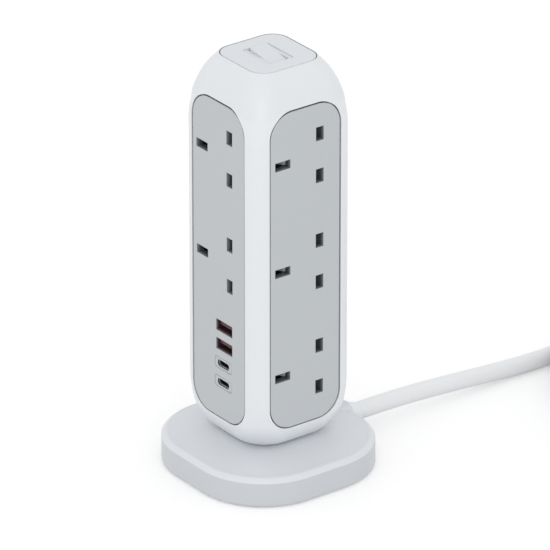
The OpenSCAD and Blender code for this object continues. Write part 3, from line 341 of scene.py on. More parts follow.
def moulded_grain(name):
    """Fine moulding texture, roughness drift and a slow tone drift, over object coordinates."""
    tree, start, end = group_shell(
        name, {"Grain Scale": 2500, "Tone Drift": 0.03, "Roughness": 0.4, "Roughness Drift": 0.08},
        ("Colour", "Roughness", "Height"))
    links = tree.links
    spot = add_node(tree, "ShaderNodeTexCoord", (-900, -300)).outputs["Object"]
    grain = add_node(tree, "ShaderNodeTexNoise", (-500, -300), Detail=3.0, Roughness=0.6)
    drift = add_node(tree, "ShaderNodeTexNoise", (-500, 100), Scale=14.0, Detail=2.0)
    wear = add_node(tree, "ShaderNodeTexNoise", (-500, -100), Scale=160.0, Detail=4.0)
    for noise in (grain, drift, wear):
        links.new(spot, noise.inputs["Vector"])
    links.new(start.outputs["Grain Scale"], grain.inputs["Scale"])
    offset = maths(tree, "SUBTRACT", drift.outputs["Fac"], 0.5)
    tone = maths(tree, "ADD", maths(tree, "MULTIPLY", offset, start.outputs["Tone Drift"]), 1.0)
    send_colour(tree, start, end, tone)
    spread = maths(tree, "MULTIPLY", maths(tree, "SUBTRACT", wear.outputs["Fac"], 0.5),
                   start.outputs["Roughness Drift"])
    links.new(maths(tree, "ADD", start.outputs["Roughness"], spread, clamp=True),
              end.inputs["Roughness"])
    links.new(grain.outputs["Fac"], end.inputs["Height"])


def depth_shade(name):
    """Darkens what lies deeper than a set distance behind the four flat sides and the top."""
    tree, start, end = group_shell(
        name, {"Face": 0.03, "Top": 1.0, "Start": 0.0002, "End": 0.003, "Least Light": 0.1})
    given = start.outputs
    x, y, z = split_axes(tree)
    out = maths(tree, "MAXIMUM", maths(tree, "ABSOLUTE", x), maths(tree, "ABSOLUTE", y))
    depth = maths(tree, "MINIMUM", maths(tree, "SUBTRACT", given["Face"], out),
                  maths(tree, "SUBTRACT", given["Top"], z))
    share = maths(tree, "DIVIDE", maths(tree, "SUBTRACT", depth, given["Start"]),
                  maths(tree, "SUBTRACT", given["End"], given["Start"]), clamp=True)
    send_colour(tree, start, end, less(tree, share, given["Least Light"]))


# Upward parts of a normal, from and to, between which one tone of painted light and shade passes into the next
TILT_STEPS = ((-0.75, -0.1, "Under", "Upright"), (0.08, 0.35, "Upright", "Sloped"),
              (0.85, 0.97, "Sloped", "Level"))


def tilt_painted_light(name):
    """Painted light and shade: scales a colour by one tone each on upright, sloped, level and downward faces."""
    tree, start, end = group_shell(
        name, {"Upright": 1.0, "Sloped": 1.0, "Level": 1.0, "Under": 1.0})
    upward = split_axes(tree, "Normal")["Z"]
    tone = start.outputs["Under"]
    for low, high, before, after in TILT_STEPS:
        step = maths(tree, "SUBTRACT", start.outputs[after], start.outputs[before])
        share = smooth_range(tree, upward, low, high)
        tone = maths(tree, "ADD", tone, maths(tree, "MULTIPLY", step, share))
    send_colour(tree, start, end, tone)


# Outward parts of a normal on a wall of a seam, which gets the full painted shade, and on a face that isn't one,
# which gets none
WALL_OUTWARD, FACE_OUTWARD = 0.5, 0.98


def wall_painted_shade(name):
    """Painted shade: darkens the faces that stand across the tower's four sides, as shade falls in a narrow seam.
    """
    tree, start, end = group_shell(name, {"Wall": 0.4})
    x, y, across, along = (
        maths(tree, "ABSOLUTE", axes[axis])
        for axes in (split_axes(tree), split_axes(tree, "Normal")) for axis in "XY")
    on_x = maths(tree, "GREATER_THAN", x, y)
    outward = maths(tree, "ADD", maths(tree, "MULTIPLY", across, on_x),
                    maths(tree, "MULTIPLY", along, maths(tree, "SUBTRACT", 1.0, on_x)))
    share = smooth_range(tree, outward, WALL_OUTWARD, FACE_OUTWARD, 1.0, 0.0)
    send_colour(tree, start, end, less(tree, share, start.outputs["Wall"]))


def grained(name, colour, roughness, grain_scale=2500.0, bump=0.06, metallic=0.0, coat=0.0,
            colour_socket=None, shade=None, painted_tilt_light=None, wall=None):
    """A Principled material with the moulded grain, and the painted shade and light that are given."""
    material = bpy.data.materials.new(name)
    material.use_nodes = True
    tree = material.node_tree
    surface = tree.nodes["Principled BSDF"]
    grain = add_node(tree, "ShaderNodeGroup", (-500, 0), node_tree=shared(moulded_grain))
    for key, value in (("Colour", (*colour, 1)), ("Grain Scale", grain_scale),
                       ("Roughness", roughness)):
        grain.inputs[key].default_value = value
    if colour_socket is not None:
        tree.links.new(colour_socket(tree), grain.inputs["Colour"])
    last = grain.outputs["Colour"]
    for values, build in ((shade, depth_shade), (painted_tilt_light, tilt_painted_light), (wall, wall_painted_shade)):
        if values is None:
            continue
        step = add_node(tree, "ShaderNodeGroup", (-250, 150), node_tree=shared(build))
        for key, value in values.items():
            step.inputs[key].default_value = value
        tree.links.new(last, step.inputs["Colour"])
        last = step.outputs["Colour"]
    tree.links.new(last, surface.inputs["Base Color"])
    tree.links.new(grain.outputs["Roughness"], surface.inputs["Roughness"])
    lift = add_node(tree, "ShaderNodeBump", (-250, -250), Strength=bump, Distance=0.05 * MM)
    tree.links.new(grain.outputs["Height"], lift.inputs["Height"])
    tree.links.new(lift.outputs["Normal"], surface.inputs["Normal"])
    for key, value in (("Metallic", metallic), ("Coat Weight", coat), ("Coat Roughness", 0.25)):
        surface.inputs[key].default_value = value
    return material


def two_tone(tree, mask, first, second):
    """A mix from the first colour to the second as the mask goes from 0 to 1."""
    mix = tree.nodes.new("ShaderNodeMix")
    mix.data_type = "RGBA"
    tree.links.new(mask, mix.inputs["Factor"])
    mix.inputs["A"].default_value = (*first, 1)
    mix.inputs["B"].default_value = (*second, 1)
    return mix.outputs["Result"]


STRIPES_PER_METRE = 160.0
STRIPE_EDGE = (0.62, 0.70)
ROCKER_SHADE_EDGE = (0.2 * MM, 0.05 * MM)
FOOT_LIGHT_FADE = (18 * MM, 33 * MM)


def striped_earth(tree):
    """Green and yellow stripes along the earth wire."""
    wave = maths(tree, "FRACT",
                 maths(tree, "MULTIPLY", split_axes(tree)["Z"], STRIPES_PER_METRE))
    return two_tone(tree, smooth_range(tree, wave, *STRIPE_EDGE), colours().green,
                    colours().yellow)


def rocker_painted_side_shade(tree):
    """The cap's grey on the rocker's top, and painted shade: a darker grey on its two sides."""
    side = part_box("switch_rocker")[1].y
    mask = smooth_range(tree, maths(tree, "ABSOLUTE", split_axes(tree)["Y"]),
                        *(side - margin for margin in ROCKER_SHADE_EDGE))
    return two_tone(tree, mask, colours().cap, colours().rocker_side_shade)


def base_with_painted_light(tree):
    """The base's white, and painted light: a paler white close round the tower's foot."""
    axes = split_axes(tree)
    fourths = [maths(tree, "POWER", maths(tree, "ABSOLUTE", axes[axis]), 4.0) for axis in "XY"]
    out = maths(tree, "POWER", maths(tree, "ADD", *fourths), 0.25)
    return two_tone(tree, smooth_range(tree, out, *FOOT_LIGHT_FADE), colours().foot, colours().base)


PANEL_FACE = PANEL_HIGH.x
FINISHES = {}


def sunk(start, end, least, **surfaces):
    """Values of the depth shade: two depths in mm, and the light that is left at the second."""
    return {"Face": PANEL_FACE, "Start": start * MM, "End": end * MM, "Least Light": least,
            **surfaces}


def build_finishes():
    """One material for each slot of the record, and those of the pieces built here."""
    c = colours()
    top_only = {"Face": 1.0, "Top": CAP_HIGH.z}
    FINISHES.update({
        # Painted shade under the heel and on the dome, set by which way each face is turned
        "body_white": grained("tower_white", c.shell, 0.36, coat=0.15,
                              painted_tilt_light={"Under": 0.84, "Sloped": 0.955, "Level": 0.97}),
        # Painted shade on the base's upright side, and painted light on its slopes and round the tower's foot
        "base_white": grained("base_white", c.base, 0.42, coat=0.08, colour_socket=base_with_painted_light,
                              painted_tilt_light={"Upright": 0.92, "Sloped": 1.08, "Level": 1.0}),
        # Faceplates and trims: depth shade in the slots, and painted shade on the walls of seams and slots
        "panel_grey": grained("faceplate_grey", c.panel, 0.42, shade=sunk(0.1, 2.4, 0.3),
                              wall={"Wall": 0.6}),
        "trim_grey": grained("port_trim", c.panel, 0.40, shade=sunk(0.1, 0.6, 0.1),
                             wall={"Wall": 0.1}),
        "seam_painted_shade": grained("seam_painted_shade", c.seam, 0.60),
        "cap_grey": grained("cap_grey", c.cap, 0.40),
        "cap_edged": grained("cap_edged", c.cap, 0.40, shade=sunk(0.1, 0.7, 0.1, **top_only)),
        "case_edged": grained("case_edged", c.cap, 0.40, shade=sunk(0.1, 2.4, 0.4, **top_only)),
        "rocker_grey": grained("rocker_grey", c.cap, 0.36, colour_socket=rocker_painted_side_shade),
        "shutter_white": grained("shutter_grey", c.shutter, 0.45, shade=sunk(4.2, 7.5, 0.16)),
        # Painted reflection of the tongues inside the USB-A shells, with depth shade
        "port_inner": grained("port_inner", c.port_painted_reflection, 0.45, metallic=0.3,
                              shade=sunk(0.3, 1.6, 0.25)),
        "cord_white": grained("cord_sheath", c.sheath, 0.55, grain_scale=900.0, bump=0.12),
        "inner_grey": grained("inner_moulding", c.inner, 0.55),
        "carrier_dark": grained("carrier_dark", c.carrier, 0.60),
        "rubber_dark": grained("foot_rubber", c.rubber, 0.80, grain_scale=1500.0, bump=0.3),
        "steel": grained("bright_steel", c.steel, 0.28, metallic=1.0, bump=0.03),
        "brass_contact": grained("contact_brass", c.brass, 0.26, metallic=1.0, bump=0.03),
        "wire_brown": grained("wire_brown", c.brown, 0.45),
        "wire_blue": grained("wire_blue", c.blue, 0.45),
        "wire_green": grained("wire_earth", c.green, 0.45, colour_socket=striped_earth),
        "board_green": grained("board_green", c.board, 0.35, coat=0.5),
        "parts_dark": grained("board_parts", c.carrier, 0.45),
        "tongue_maroon": grained("usb_a_maroon", c.maroon, 0.35),
        "tongue_black": grained("usb_c_black", c.black, 0.35),
        "fuse_tan": grained("fuse_ceramic", c.ceramic, 0.30),
        "port_steel": grained("port_steel", c.steel, 0.40, metallic=0.6,
                              shade=sunk(0.5, 1.6, 0.05)),
    })


def dress(obj, finish):
    obj.data.materials.clear()
    obj.data.materials.append(FINISHES[finish])


# Mesh helpers

OUTLINE_STEPS = 24  # steps round each corner of a faceplate's window and of the base
MARGIN = 1 * MM  # how far a cutting tool or a test reaches past what it meets


def rounded_rectangle(width, height, radius, steps):
    """Flat outline (u, v) of a rectangle with round corners, anticlockwise from its right side."""
    points = []
    for q, (su, sv) in enumerate(((1, 1), (-1, 1), (-1, -1), (1, -1))):
        for i in range(steps + 1):
            a = math.radians(90 * (q + i / steps))
            points.append((su * (width / 2 - radius) + radius * math.cos(a),
                           sv * (height / 2 - radius) + radius * math.sin(a)))
    return points


def rounded_square(half, radius, z, steps):
    """Points at one height of a square with round corners, anticlockwise from +X."""
    return [(u, v, z) for u, v in rounded_rectangle(2 * half, 2 * half, radius, steps)]


def skin(name, rings):
    """A closed mesh object through rings of points, with a cap at each end."""
    n, m = len(rings), len(rings[0])
    faces = [(j * m + i, j * m + (i + 1) % m, (j + 1) * m + (i + 1) % m, (j + 1) * m + i)
             for j in range(n - 1) for i in range(m)]
    faces.append(tuple(range(m - 1, -1, -1)))
    faces.append(tuple((n - 1) * m + i for i in range(m)))
    mesh = bpy.data.meshes.new(name)
    mesh.from_pydata([p for ring in rings for p in ring], [], faces)
    mesh.validate()
    obj = bpy.data.objects.new(name, mesh)
    bpy.context.scene.collection.objects.link(obj)
    turn_outward(obj)
    return obj


def turn_outward(obj):
    work = bmesh.new()
    work.from_mesh(obj.data)
    bmesh.ops.recalc_face_normals(work, faces=work.faces)
    work.to_mesh(obj.data)
    work.free()


def rod(name, start, end, radii):
    """A round rod or cone between two points."""
    start, end = Vector(start), Vector(end)
    steps = 48
    turn = (end - start).to_track_quat("Z", "Y").to_matrix()
    rings = []
    for centre, radius in zip((start, end), radii):
        rings.append([centre + turn @ Vector((radius * math.cos(a), radius * math.sin(a), 0))
                      for a in (2 * math.pi * i / steps for i in range(steps))])
    return skin(name, rings)


def box_piece(name, low, high):
    (x0, y0, z0), (x1, y1, z1) = low, high
    return skin(name, [[(x0, y0, z), (x1, y0, z), (x1, y1, z), (x0, y1, z)] for z in (z0, z1)])


def settle(obj):
    """Turns the evaluated mesh, modifiers and all, into the object's own mesh."""
    bpy.context.view_layer.update()
    evaluated = obj.evaluated_get(bpy.context.evaluated_depsgraph_get())
    made = bpy.data.meshes.new_from_object(evaluated)
    obj.modifiers.clear()
    old = obj.data
    obj.data = made
    bpy.data.meshes.remove(old)


def combine(obj, tools, operation):
    """Joins tools to obj or cuts them from it, and removes them."""
    for tool in tools:
        step = obj.modifiers.new("combine", "BOOLEAN")
        step.operation = operation
        step.solver = "EXACT"
        step.object = tool
    settle(obj)
    for tool in tools:
        bpy.data.objects.remove(tool)


def soften(obj, width):
    """Rounds the sharp edges and evens the shading of the flats beside them."""
    weld = obj.modifiers.new("weld", "WELD")
    weld.merge_threshold = 0.002 * MM
    bevel = obj.modifiers.new("edge_rounding", "BEVEL")
    bevel.width = width
    bevel.segments = 2
    bevel.limit_method = "ANGLE"
    bevel.angle_limit = math.radians(38)
    bevel.harden_normals = False
    even = obj.modifiers.new("even_shading", "WEIGHTED_NORMAL")
    even.keep_sharp = True
    even.weight = 90


def shade_by_angle(obj, angle=32.0):
    obj.data.shade_smooth()
    obj.data.set_sharp_from_angle(angle=math.radians(angle))


def place(obj, body, stands_for, finish):
    """Rides the piece on its body and gives it its finish."""
    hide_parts(*stands_for)
    dress(obj, finish)
    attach(obj, body)


# Cord

# Points of the cord's run in mm, from the strain relief to where the coil starts
RUN_POINTS = [
    (0, 54.5, 10), (0, 66, 10), (0, 80, 9.8), (0, 94, 9.2), (0, 110, 8.2), (0, 126, 7),
    (0, 142, 5.8), (0, 158, 4.9), (0, 174, 4.5), (0, 190, 4.5), (0, 204, 4.5)]
RUN_STEPS = 4
COIL_Y = 210 * MM
COIL_SOFT = 0.03  # turns over which a layer turns back from inward to outward
COIL_END = 2 * MM
LAYERS = 3
TURN_STEPS = 40
CORD_SIDES = 20


def ease(x):
    x = min(1.0, max(0.0, x))
    return x * x * (3 - 2 * x)


def soft_root(x):
    return math.hypot(x, COIL_SOFT)


def coil_radius(u):
    """Radius after u turns: inward, outward and inward again, and then round the inner turn."""
    c = cord()
    inner = c.middle_radius - c.pitch * c.turns / 2
    first, second, third = (u - k * c.turns for k in (1, 2, 3))
    return inner + c.pitch * (soft_root(first) - COIL_SOFT - (second + soft_root(second))
                              + (third + soft_root(third)) / 2)


def coil_height(u):
    """Height of the cord's middle after u turns, with a step up at the end of each layer."""
    c = cord()
    last = LAYERS * c.turns + 0.5
    plug_axis = (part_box("plug_cover")[0].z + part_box("plug_body")[1].z) / 2
    low = c.diameter / 2
    top = low + LAYERS * c.pitch
    climb = sum(ease(2 * (u - k * c.turns) + 0.5) for k in (1, 2, 3))
    return low + c.pitch * climb + (plug_axis - top) * ease((u - last + c.rise) / c.rise)


def smooth_run(points, steps):
    """Points on a smooth curve through the given ones."""
    found = []
    ends = [2 * points[0] - points[1], *points, 2 * points[-1] - points[-2]]
    for a, b, c, d in zip(ends, ends[1:], ends[2:], ends[3:]):
        for i in range(steps):
            t = i / steps
            found.append(0.5 * (2 * b + (c - a) * t + (2 * a - 5 * b + 4 * c - d) * t * t
                                + (3 * b - a - 3 * c + d) * t ** 3))
    return [*found, points[-1]]


def cord_route():
    """The cord's centre line: the run, and the coil of three layers that ends at the plug."""
    c = cord()
    run = smooth_run([Vector(p) * MM for p in RUN_POINTS], RUN_STEPS)
    start = coil_radius(0)
    loops = []
    for i in range(int(round((LAYERS * c.turns + 0.5) * TURN_STEPS)) + 1):
        u = i / TURN_STEPS
        r, a = coil_radius(u), 2 * math.pi * u
        loops.append(Vector((start - r * math.cos(a), COIL_Y + r * math.sin(a), coil_height(u))))
    return [*run, *loops, loops[-1] - Vector((0, COIL_END, 0))]


def swept_tube(name, points, radius, sides):
    """A tube along points, its rings turned as little as can be from one to the next."""
    rings = []
    last = None
    for i, p in enumerate(points):
        along = (points[min(i + 1, len(points) - 1)] - points[max(i - 1, 0)]).normalized()
        side = along.cross(UP) if last is None else last - along * last.dot(along)
        side.normalize()
        last = side
        lift = side.cross(along)
        rings.append([p + radius * (math.cos(a) * lift + math.sin(a) * side)
                      for a in (2 * math.pi * k / sides for k in range(sides))])
    return skin(name, rings)


class TOWER_OT_mains_cord(bpy.types.Operator):
    """Builds the cord along its route, from the gland through the coil to the plug"""

    bl_idname = "tower.mains_cord"
    bl_label = "Mains cord"

    def execute(self, context):
        route = cord_route()
        piece = swept_tube("mains_cord", route, cord().diameter / 2, CORD_SIDES)
        shade_by_angle(piece, 60)
        place(piece, ROOT, ("cord_run", "cord_coil"), "cord_white")
        return {"FINISHED"}


# Tower shell

HEEL_SHARP = 1.012  # keeps the heel's quarter ellipse from closing, so that it ends in an edge
CAP_RIM = 0.4 * MM
CAP_CORNER = 8.6 * MM
CAP_SEAT_DEPTH = 3 * MM
CAP_HOLE = (17.5 * MM, 8.1 * MM)  # half width and corner radius, as in the next one
FLOOR_HOLE = (16 * MM, 8 * MM)
FLOOR_THICKNESS = 3 * MM
ROOF_THICKNESS = 5 * MM
INNER_CORNER_LOSS = 4.8 * MM
FACEPLATE_THICKNESS = 2.4 * MM
WINDOW_LEDGE = 2 * MM
RECESS_DEPTH = 0.15 * MM  # least depth under a side at which a face can be a window's wall
SEAT_REACH = 4 * MM
WALL_LEAN = 0.7  # part of a wall's normal along its opening, at most
LEAD_STEPS = 6
CORNER_STEPS = 14
HEIGHT_STEPS = 18
INNER_CORNER_STEPS, INNER_HEIGHT_STEPS = 6, 8
CAP_SEAT_STEPS, HOLE_STEPS = 16, 12

def shell_half(z):
    """Half width of the tower at a height."""
    s = shell()
    full = SHELL_HIGH.x
    shoulder = SHELL_HIGH.z - s.dome_height
    heel = SHELL_LOW.z + s.heel_height
    if z > shoulder:
        share = ((z - shoulder) / s.dome_reach) ** s.dome_power
        return max(full * (1 - share) ** (1 / s.dome_power),
                   CAP_HIGH.x + s.cap_seam + CAP_RIM)
    if z < heel:
        drop = (heel - z) / (s.heel_height * HEEL_SHARP)
        return full - s.heel_inset * (1 - math.sqrt(1 - drop * drop))
    return full


def shell_corner(z):
    """Corner radius of the tower at a height."""
    s = shell()
    shoulder = SHELL_HIGH.z - s.dome_height
    heel = SHELL_LOW.z + s.heel_height
    radius = s.corner_radius
    if z > shoulder - s.corner_lead:
        share = (z - shoulder + s.corner_lead) / (s.dome_height + s.corner_lead)
        return radius + s.dome_swell * math.sin(math.pi * share) ** 2
    if z < heel + s.corner_lead:
        share = (heel + s.corner_lead - z) / (s.heel_height + s.corner_lead)
        return radius + s.heel_swell * math.sin(math.pi / 2 * share) ** 2
    return radius


def shell_heights(low, high, steps):
    """Heights that crowd where the shell curves."""
    s = shell()
    shoulder = SHELL_HIGH.z - s.dome_height
    heel = SHELL_LOW.z + s.heel_height
    found = [low + (heel - low) * (1 - math.cos(math.pi / 2 * i / steps)) for i in range(steps)]
    found += [heel + s.corner_lead * i / LEAD_STEPS for i in range(LEAD_STEPS)]
    found += [shoulder - s.corner_lead * (1 - i / LEAD_STEPS) for i in range(LEAD_STEPS)]
    found += [shoulder + (high - shoulder) * i / steps for i in range(steps + 1)]
    return found


def window_cutter(k, grow, front, back):
    """A prism with a faceplate's outline, grown by a margin, on side k between two depths."""
    low, high = PANEL_LOW, PANEL_HIGH
    width, height = high.y - low.y + 2 * grow, high.z - low.z + 2 * grow
    outline = rounded_rectangle(width, height, shell().window_corner + grow, OUTLINE_STEPS)
    turn = Matrix.Rotation(math.radians(90 * k), 3, "Z")
    middle = (low.z + high.z) / 2
    rings = [[turn @ Vector((u, -SHELL_HIGH.x + d, middle + v)) for u, v in outline]
             for d in (front, back)]
    return skin("window_cutter", rings)


def in_recess(face):
    """Whether a face of the shell is a wall of a window or of the cap's seat."""
    spot, normal = face.center, face.normal
    x, y = abs(spot.x), abs(spot.y)
    out, across = (0, 1) if x > y else (1, 0)
    middle = (PANEL_LOW.z + PANEL_HIGH.z) / 2
    faces_middle = spot[across] * normal[across] + (spot.z - middle) * normal.z < 0
    in_window = (min(x, y) < PANEL_HIGH.y + MARGIN
                 and PANEL_LOW.z - MARGIN < spot.z < PANEL_HIGH.z + MARGIN
                 and SHELL_HIGH.x - max(x, y) > RECESS_DEPTH
                 and faces_middle and abs(normal[out]) < WALL_LEAN)
    faces_axis = spot.x * normal.x + spot.y * normal.y < 0
    in_seat = (max(x, y) < CAP_HIGH.x + MARGIN and CAP_HIGH.z - spot.z < SEAT_REACH
               and faces_axis and abs(normal.z) < WALL_LEAN)
    return in_window or in_seat


class TOWER_OT_tower_shell(bpy.types.Operator):
    """Builds the domed tower shell with its four windows"""

    bl_idname = "tower.tower_shell"
    bl_label = "Tower shell"

    def execute(self, context):
        s = shell()
        piece = skin("tower_shell", [
            rounded_square(shell_half(z), shell_corner(z), z, CORNER_STEPS)
            for z in shell_heights(SHELL_LOW.z, SHELL_HIGH.z, HEIGHT_STEPS)])
        floor_top, roof = SHELL_LOW.z + FLOOR_THICKNESS, SHELL_HIGH.z - ROOF_THICKNESS
        inside = skin("tower_inside", [
            rounded_square(shell_half(z) - s.wall, shell_corner(z) - INNER_CORNER_LOSS, z,
                           INNER_CORNER_STEPS)
            for z in shell_heights(floor_top, roof, INNER_HEIGHT_STEPS)])
        cap_opening = (CAP_HIGH.x + s.cap_seam, CAP_CORNER + s.cap_seam)
        tools = [
            inside,
            skin("cap_seat", [rounded_square(*cap_opening, z, CAP_SEAT_STEPS)
                              for z in (CAP_HIGH.z - CAP_SEAT_DEPTH, CAP_HIGH.z + MARGIN)]),
            skin("cap_hole", [rounded_square(*CAP_HOLE, z, HOLE_STEPS)
                              for z in (roof - MARGIN, CAP_HIGH.z)]),
            skin("floor_hole", [rounded_square(*FLOOR_HOLE, z, HOLE_STEPS)
                                for z in (SHELL_LOW.z - MARGIN, floor_top + MARGIN)]),
        ]
        seat_depth = SHELL_HIGH.x - PANEL_HIGH.x + FACEPLATE_THICKNESS
        for k in range(4):
            tools.append(window_cutter(k, s.seam, -MARGIN, seat_depth))
            tools.append(window_cutter(k, -WINDOW_LEDGE, MARGIN, s.wall + MARGIN))
        combine(piece, tools, "DIFFERENCE")
        shade_by_angle(piece)
        soften(piece, s.rim_round)
        place(piece, ROOT, ("tower_housing",), "body_white")
        # The walls of the windows and of the cap's seat get the grey of painted shade in the seams
        piece.data.materials.append(FINISHES["seam_painted_shade"])
        for face in piece.data.polygons:
            if in_recess(face):
                face.material_index = 1
        return {"FINISHED"}


# Base

# Insets and heights in mm of the side's rounded lower edge
LOWER_EDGE = ((0.4, 0), (0.1, 0.15), (0, 0.5))
BEVEL_STEPS = 12
CROWN_STEPS = 14
HOOD_START = 36 * MM
HOOD_RADII = (8.6 * MM, 7.6 * MM)
HOOD_FOOT_LOW, HOOD_FOOT_FAR = (-20 * MM, 30 * MM, -5 * MM), (20 * MM, 60 * MM)
BORE_RADIUS = 5.7 * MM
WIRE_HOLE_RADIUS = 5.5 * MM
WIRE_HOLE_HEIGHTS = (10 * MM, 30 * MM)


def base_outline(inset, z, loss=0.0):
    half = BASE_HIGH.x - inset - loss
    return rounded_square(half, shell().base_corner - inset - loss, z, OUTLINE_STEPS)


def base_rings(loss):
    """Rings up the side, round the bevel and over the crown to the seat."""
    s = shell()
    wall_top = BASE_LOW.z + s.base_wall
    rim = wall_top + s.bevel_height
    if loss:
        rings = [base_outline(0, BASE_LOW.z - MARGIN, loss)]
    else:
        rings = [base_outline(inset * MM, BASE_LOW.z + height * MM)
                 for inset, height in LOWER_EDGE]
    for i in range(BEVEL_STEPS + 1):
        a = math.pi / 2 * i / BEVEL_STEPS
        arc = 1 - math.cos(a)
        across = arc + (i / BEVEL_STEPS - arc) * s.rim_slope
        rings.append(base_outline(s.bevel_width * across,
                                  wall_top + s.bevel_height * math.sin(a) - loss, loss))
    span = BASE_HIGH.x - s.seat_half - s.bevel_width
    for i in range(1, CROWN_STEPS + 1):
        c = i / CROWN_STEPS
        rings.append(base_outline(s.bevel_width + span * c - (loss if i == CROWN_STEPS else 0),
                                  rim + s.crown * math.sin(math.pi / 2 * c) - loss, loss))
    return rings


class TOWER_OT_base(bpy.types.Operator):
    """Builds the low rounded base with its cord hood"""

    bl_idname = "tower.base"
    bl_label = "Base"

    def execute(self, context):
        s = shell()
        piece = skin("base_cover", base_rings(0))
        centre_z = (GLAND_LOW.z + GLAND_HIGH.z) / 2
        combine(piece, [skin("base_inside", base_rings(s.base_thickness))], "DIFFERENCE")
        hood = rod("hood", (0, HOOD_START, centre_z), (0, BASE_HIGH.y, centre_z), HOOD_RADII)
        below = box_piece("hood_foot", HOOD_FOOT_LOW, (*HOOD_FOOT_FAR, BASE_LOW.z))
        combine(hood, [below], "DIFFERENCE")
        combine(piece, [hood], "UNION")
        bore = rod("gland_bore", (0, HOOD_START - MARGIN, centre_z),
                   (0, BASE_HIGH.y + MARGIN, centre_z), (BORE_RADIUS,) * 2)
        wires = rod("wire_hole", *((0, 0, z) for z in WIRE_HOLE_HEIGHTS),
                    (WIRE_HOLE_RADIUS,) * 2)
        combine(piece, [bore, wires], "DIFFERENCE")
        shade_by_angle(piece)
        soften(piece, 0.3 * MM)
        place(piece, ROOT, ("base_shell",), "base_white")
        return {"FINISHED"}


# Carried-over nodes

def dress_nodes(names, rounding=0.0, finish=None):
    """Gives CAD nodes the finish of their slot, and rounds their edges a little."""
    for name in names:
        obj = NODES[name]
        dress(obj, finish or SLOT_OF[name])
        if rounding:
            soften(obj, rounding)


class TOWER_OT_faceplates(bpy.types.Operator):
    """Finishes the four faceplates and the shutters behind their slots"""

    bl_idname = "tower.faceplates"
    bl_label = "Faceplates"

    def execute(self, context):
        dress_nodes([n for n in NODES if n.endswith("_faceplate")], rounding=0.35 * MM)
        dress_nodes([n for n in NODES if "_shutter_" in n])
        dress_nodes([n for n in NODES if n.endswith("_carrier")])
        return {"FINISHED"}


SPRING_REACH = 6 * MM


def mesh_near_height(obj, height, reach):
    """A copy of a node's mesh with only what lies within reach of a height."""
    mesh = obj.data.copy()
    build = bmesh.new()
    build.from_mesh(mesh)
    bmesh.ops.delete(build, context="VERTS",
                     geom=[v for v in build.verts if abs(v.co.z - height) > reach])
    build.to_mesh(mesh)
    build.free()
    return mesh


class TOWER_OT_springs(bpy.types.Operator):
    """Gives each shutter its own spring, cut from the springs of its side round the shutter's height"""

    bl_idname = "tower.springs"
    bl_label = "Springs"

    def execute(self, context):
        for joint in frame["joints"]:
            if "_shutter_" not in joint["child"]:
                continue
            side, row = joint["child"].split("_shutter_")
            node = side + "_springs"
            low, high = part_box(joint["child"])
            mesh = mesh_near_height(NODES[node], (low.z + high.z) / 2, SPRING_REACH)
            piece = bpy.data.objects.new(f"{side}_{row}_spring", mesh)
            context.scene.collection.objects.link(piece)
            place(piece, BODY_OF[node], (node,), SLOT_OF[node])
            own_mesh(piece)
        return {"FINISHED"}


class TOWER_OT_top_switch(bpy.types.Operator):
    """Finishes the cap and its rocker switch"""

    bl_idname = "tower.top_switch"
    bl_label = "Top switch"

    def execute(self, context):
        dress_nodes(["top_cap"], 0.25 * MM, "cap_edged")
        dress_nodes(["switch_case"], 0.15 * MM, "case_edged")
        dress_nodes(["switch_rocker"], 0.25 * MM, "rocker_grey")
        dress_nodes(["switch_contact", "switch_terminals"])
        return {"FINISHED"}


class TOWER_OT_usb_ports(bpy.types.Operator):
    """Finishes the USB ports and the board behind them"""

    bl_idname = "tower.usb_ports"
    bl_label = "USB ports"

    def execute(self, context):
        dress_nodes(["usb_a_shells"], finish="port_inner")
        dress_nodes(["usb_c_shells"], finish="port_steel")
        dress_nodes(["usb_c_trims"], 0.2 * MM, "trim_grey")
        dress_nodes(["usb_a_tongues", "usb_c_tongues", "usb_board", "usb_power_parts",
                     "board_screws"])
        return {"FINISHED"}


class TOWER_OT_inner_parts(bpy.types.Operator):
    """Finishes the contacts, wires, screws and hidden mouldings"""

    bl_idname = "tower.inner_parts"
    bl_label = "Inner parts"

    def execute(self, context):
        dress_nodes(["live_busbars", "neutral_busbars", "earth_busbars", "live_wire",
                     "neutral_wire", "earth_wire", "carrier_screws", "tower_screws",
                     "base_screws", "clamp_screws", "cord_clamp", "tower_floor",
                     "cord_inner_end"])
        dress_nodes(["base_plate", "rubber_feet", "cord_gland"], 0.3 * MM)
        return {"FINISHED"}


class TOWER_OT_plug(bpy.types.Operator):
    """Finishes the plug on the cord's end"""

    bl_idname = "tower.plug"
    bl_label = "Plug"

    def execute(self, context):
        dress_nodes(["plug_body", "plug_cover"], 1.2 * MM)
        dress_nodes(["plug_pins"], 0.4 * MM)
        dress_nodes(["plug_fuse"])
        return {"FINISHED"}


# Stage

STAGE_FLOOR_HALF = 4.0
STAGE_FLOOR_THICKNESS = 0.01
LAMP_SIZE = 1.2
SENSOR_WIDTH = 36.0
CLIP = (0.05, 50.0)


def lamp(name, aim, spot, power):
    """A soft round lamp at a spot, turned to a point."""
    data = bpy.data.lights.new(name, "AREA")
    data.shape = "DISK"
    data.size = LAMP_SIZE
    data.energy = power
    obj = bpy.data.objects.new(name, data)
    bpy.context.scene.collection.objects.link(obj)
    obj.location = spot
    obj.rotation_euler = (aim - spot).to_track_quat("-Z", "Y").to_euler()


def seen_by_eye(tree):
    """1 for camera, mirror and glass rays, 0 for light that falls on the object."""
    path = add_node(tree, "ShaderNodeLightPath", (-700, 300))
    first = maths(tree, "ADD", path.outputs["Is Camera Ray"], path.outputs["Is Glossy Ray"],
                  clamp=True)
    return maths(tree, "ADD", first, path.outputs["Is Transmission Ray"], clamp=True)


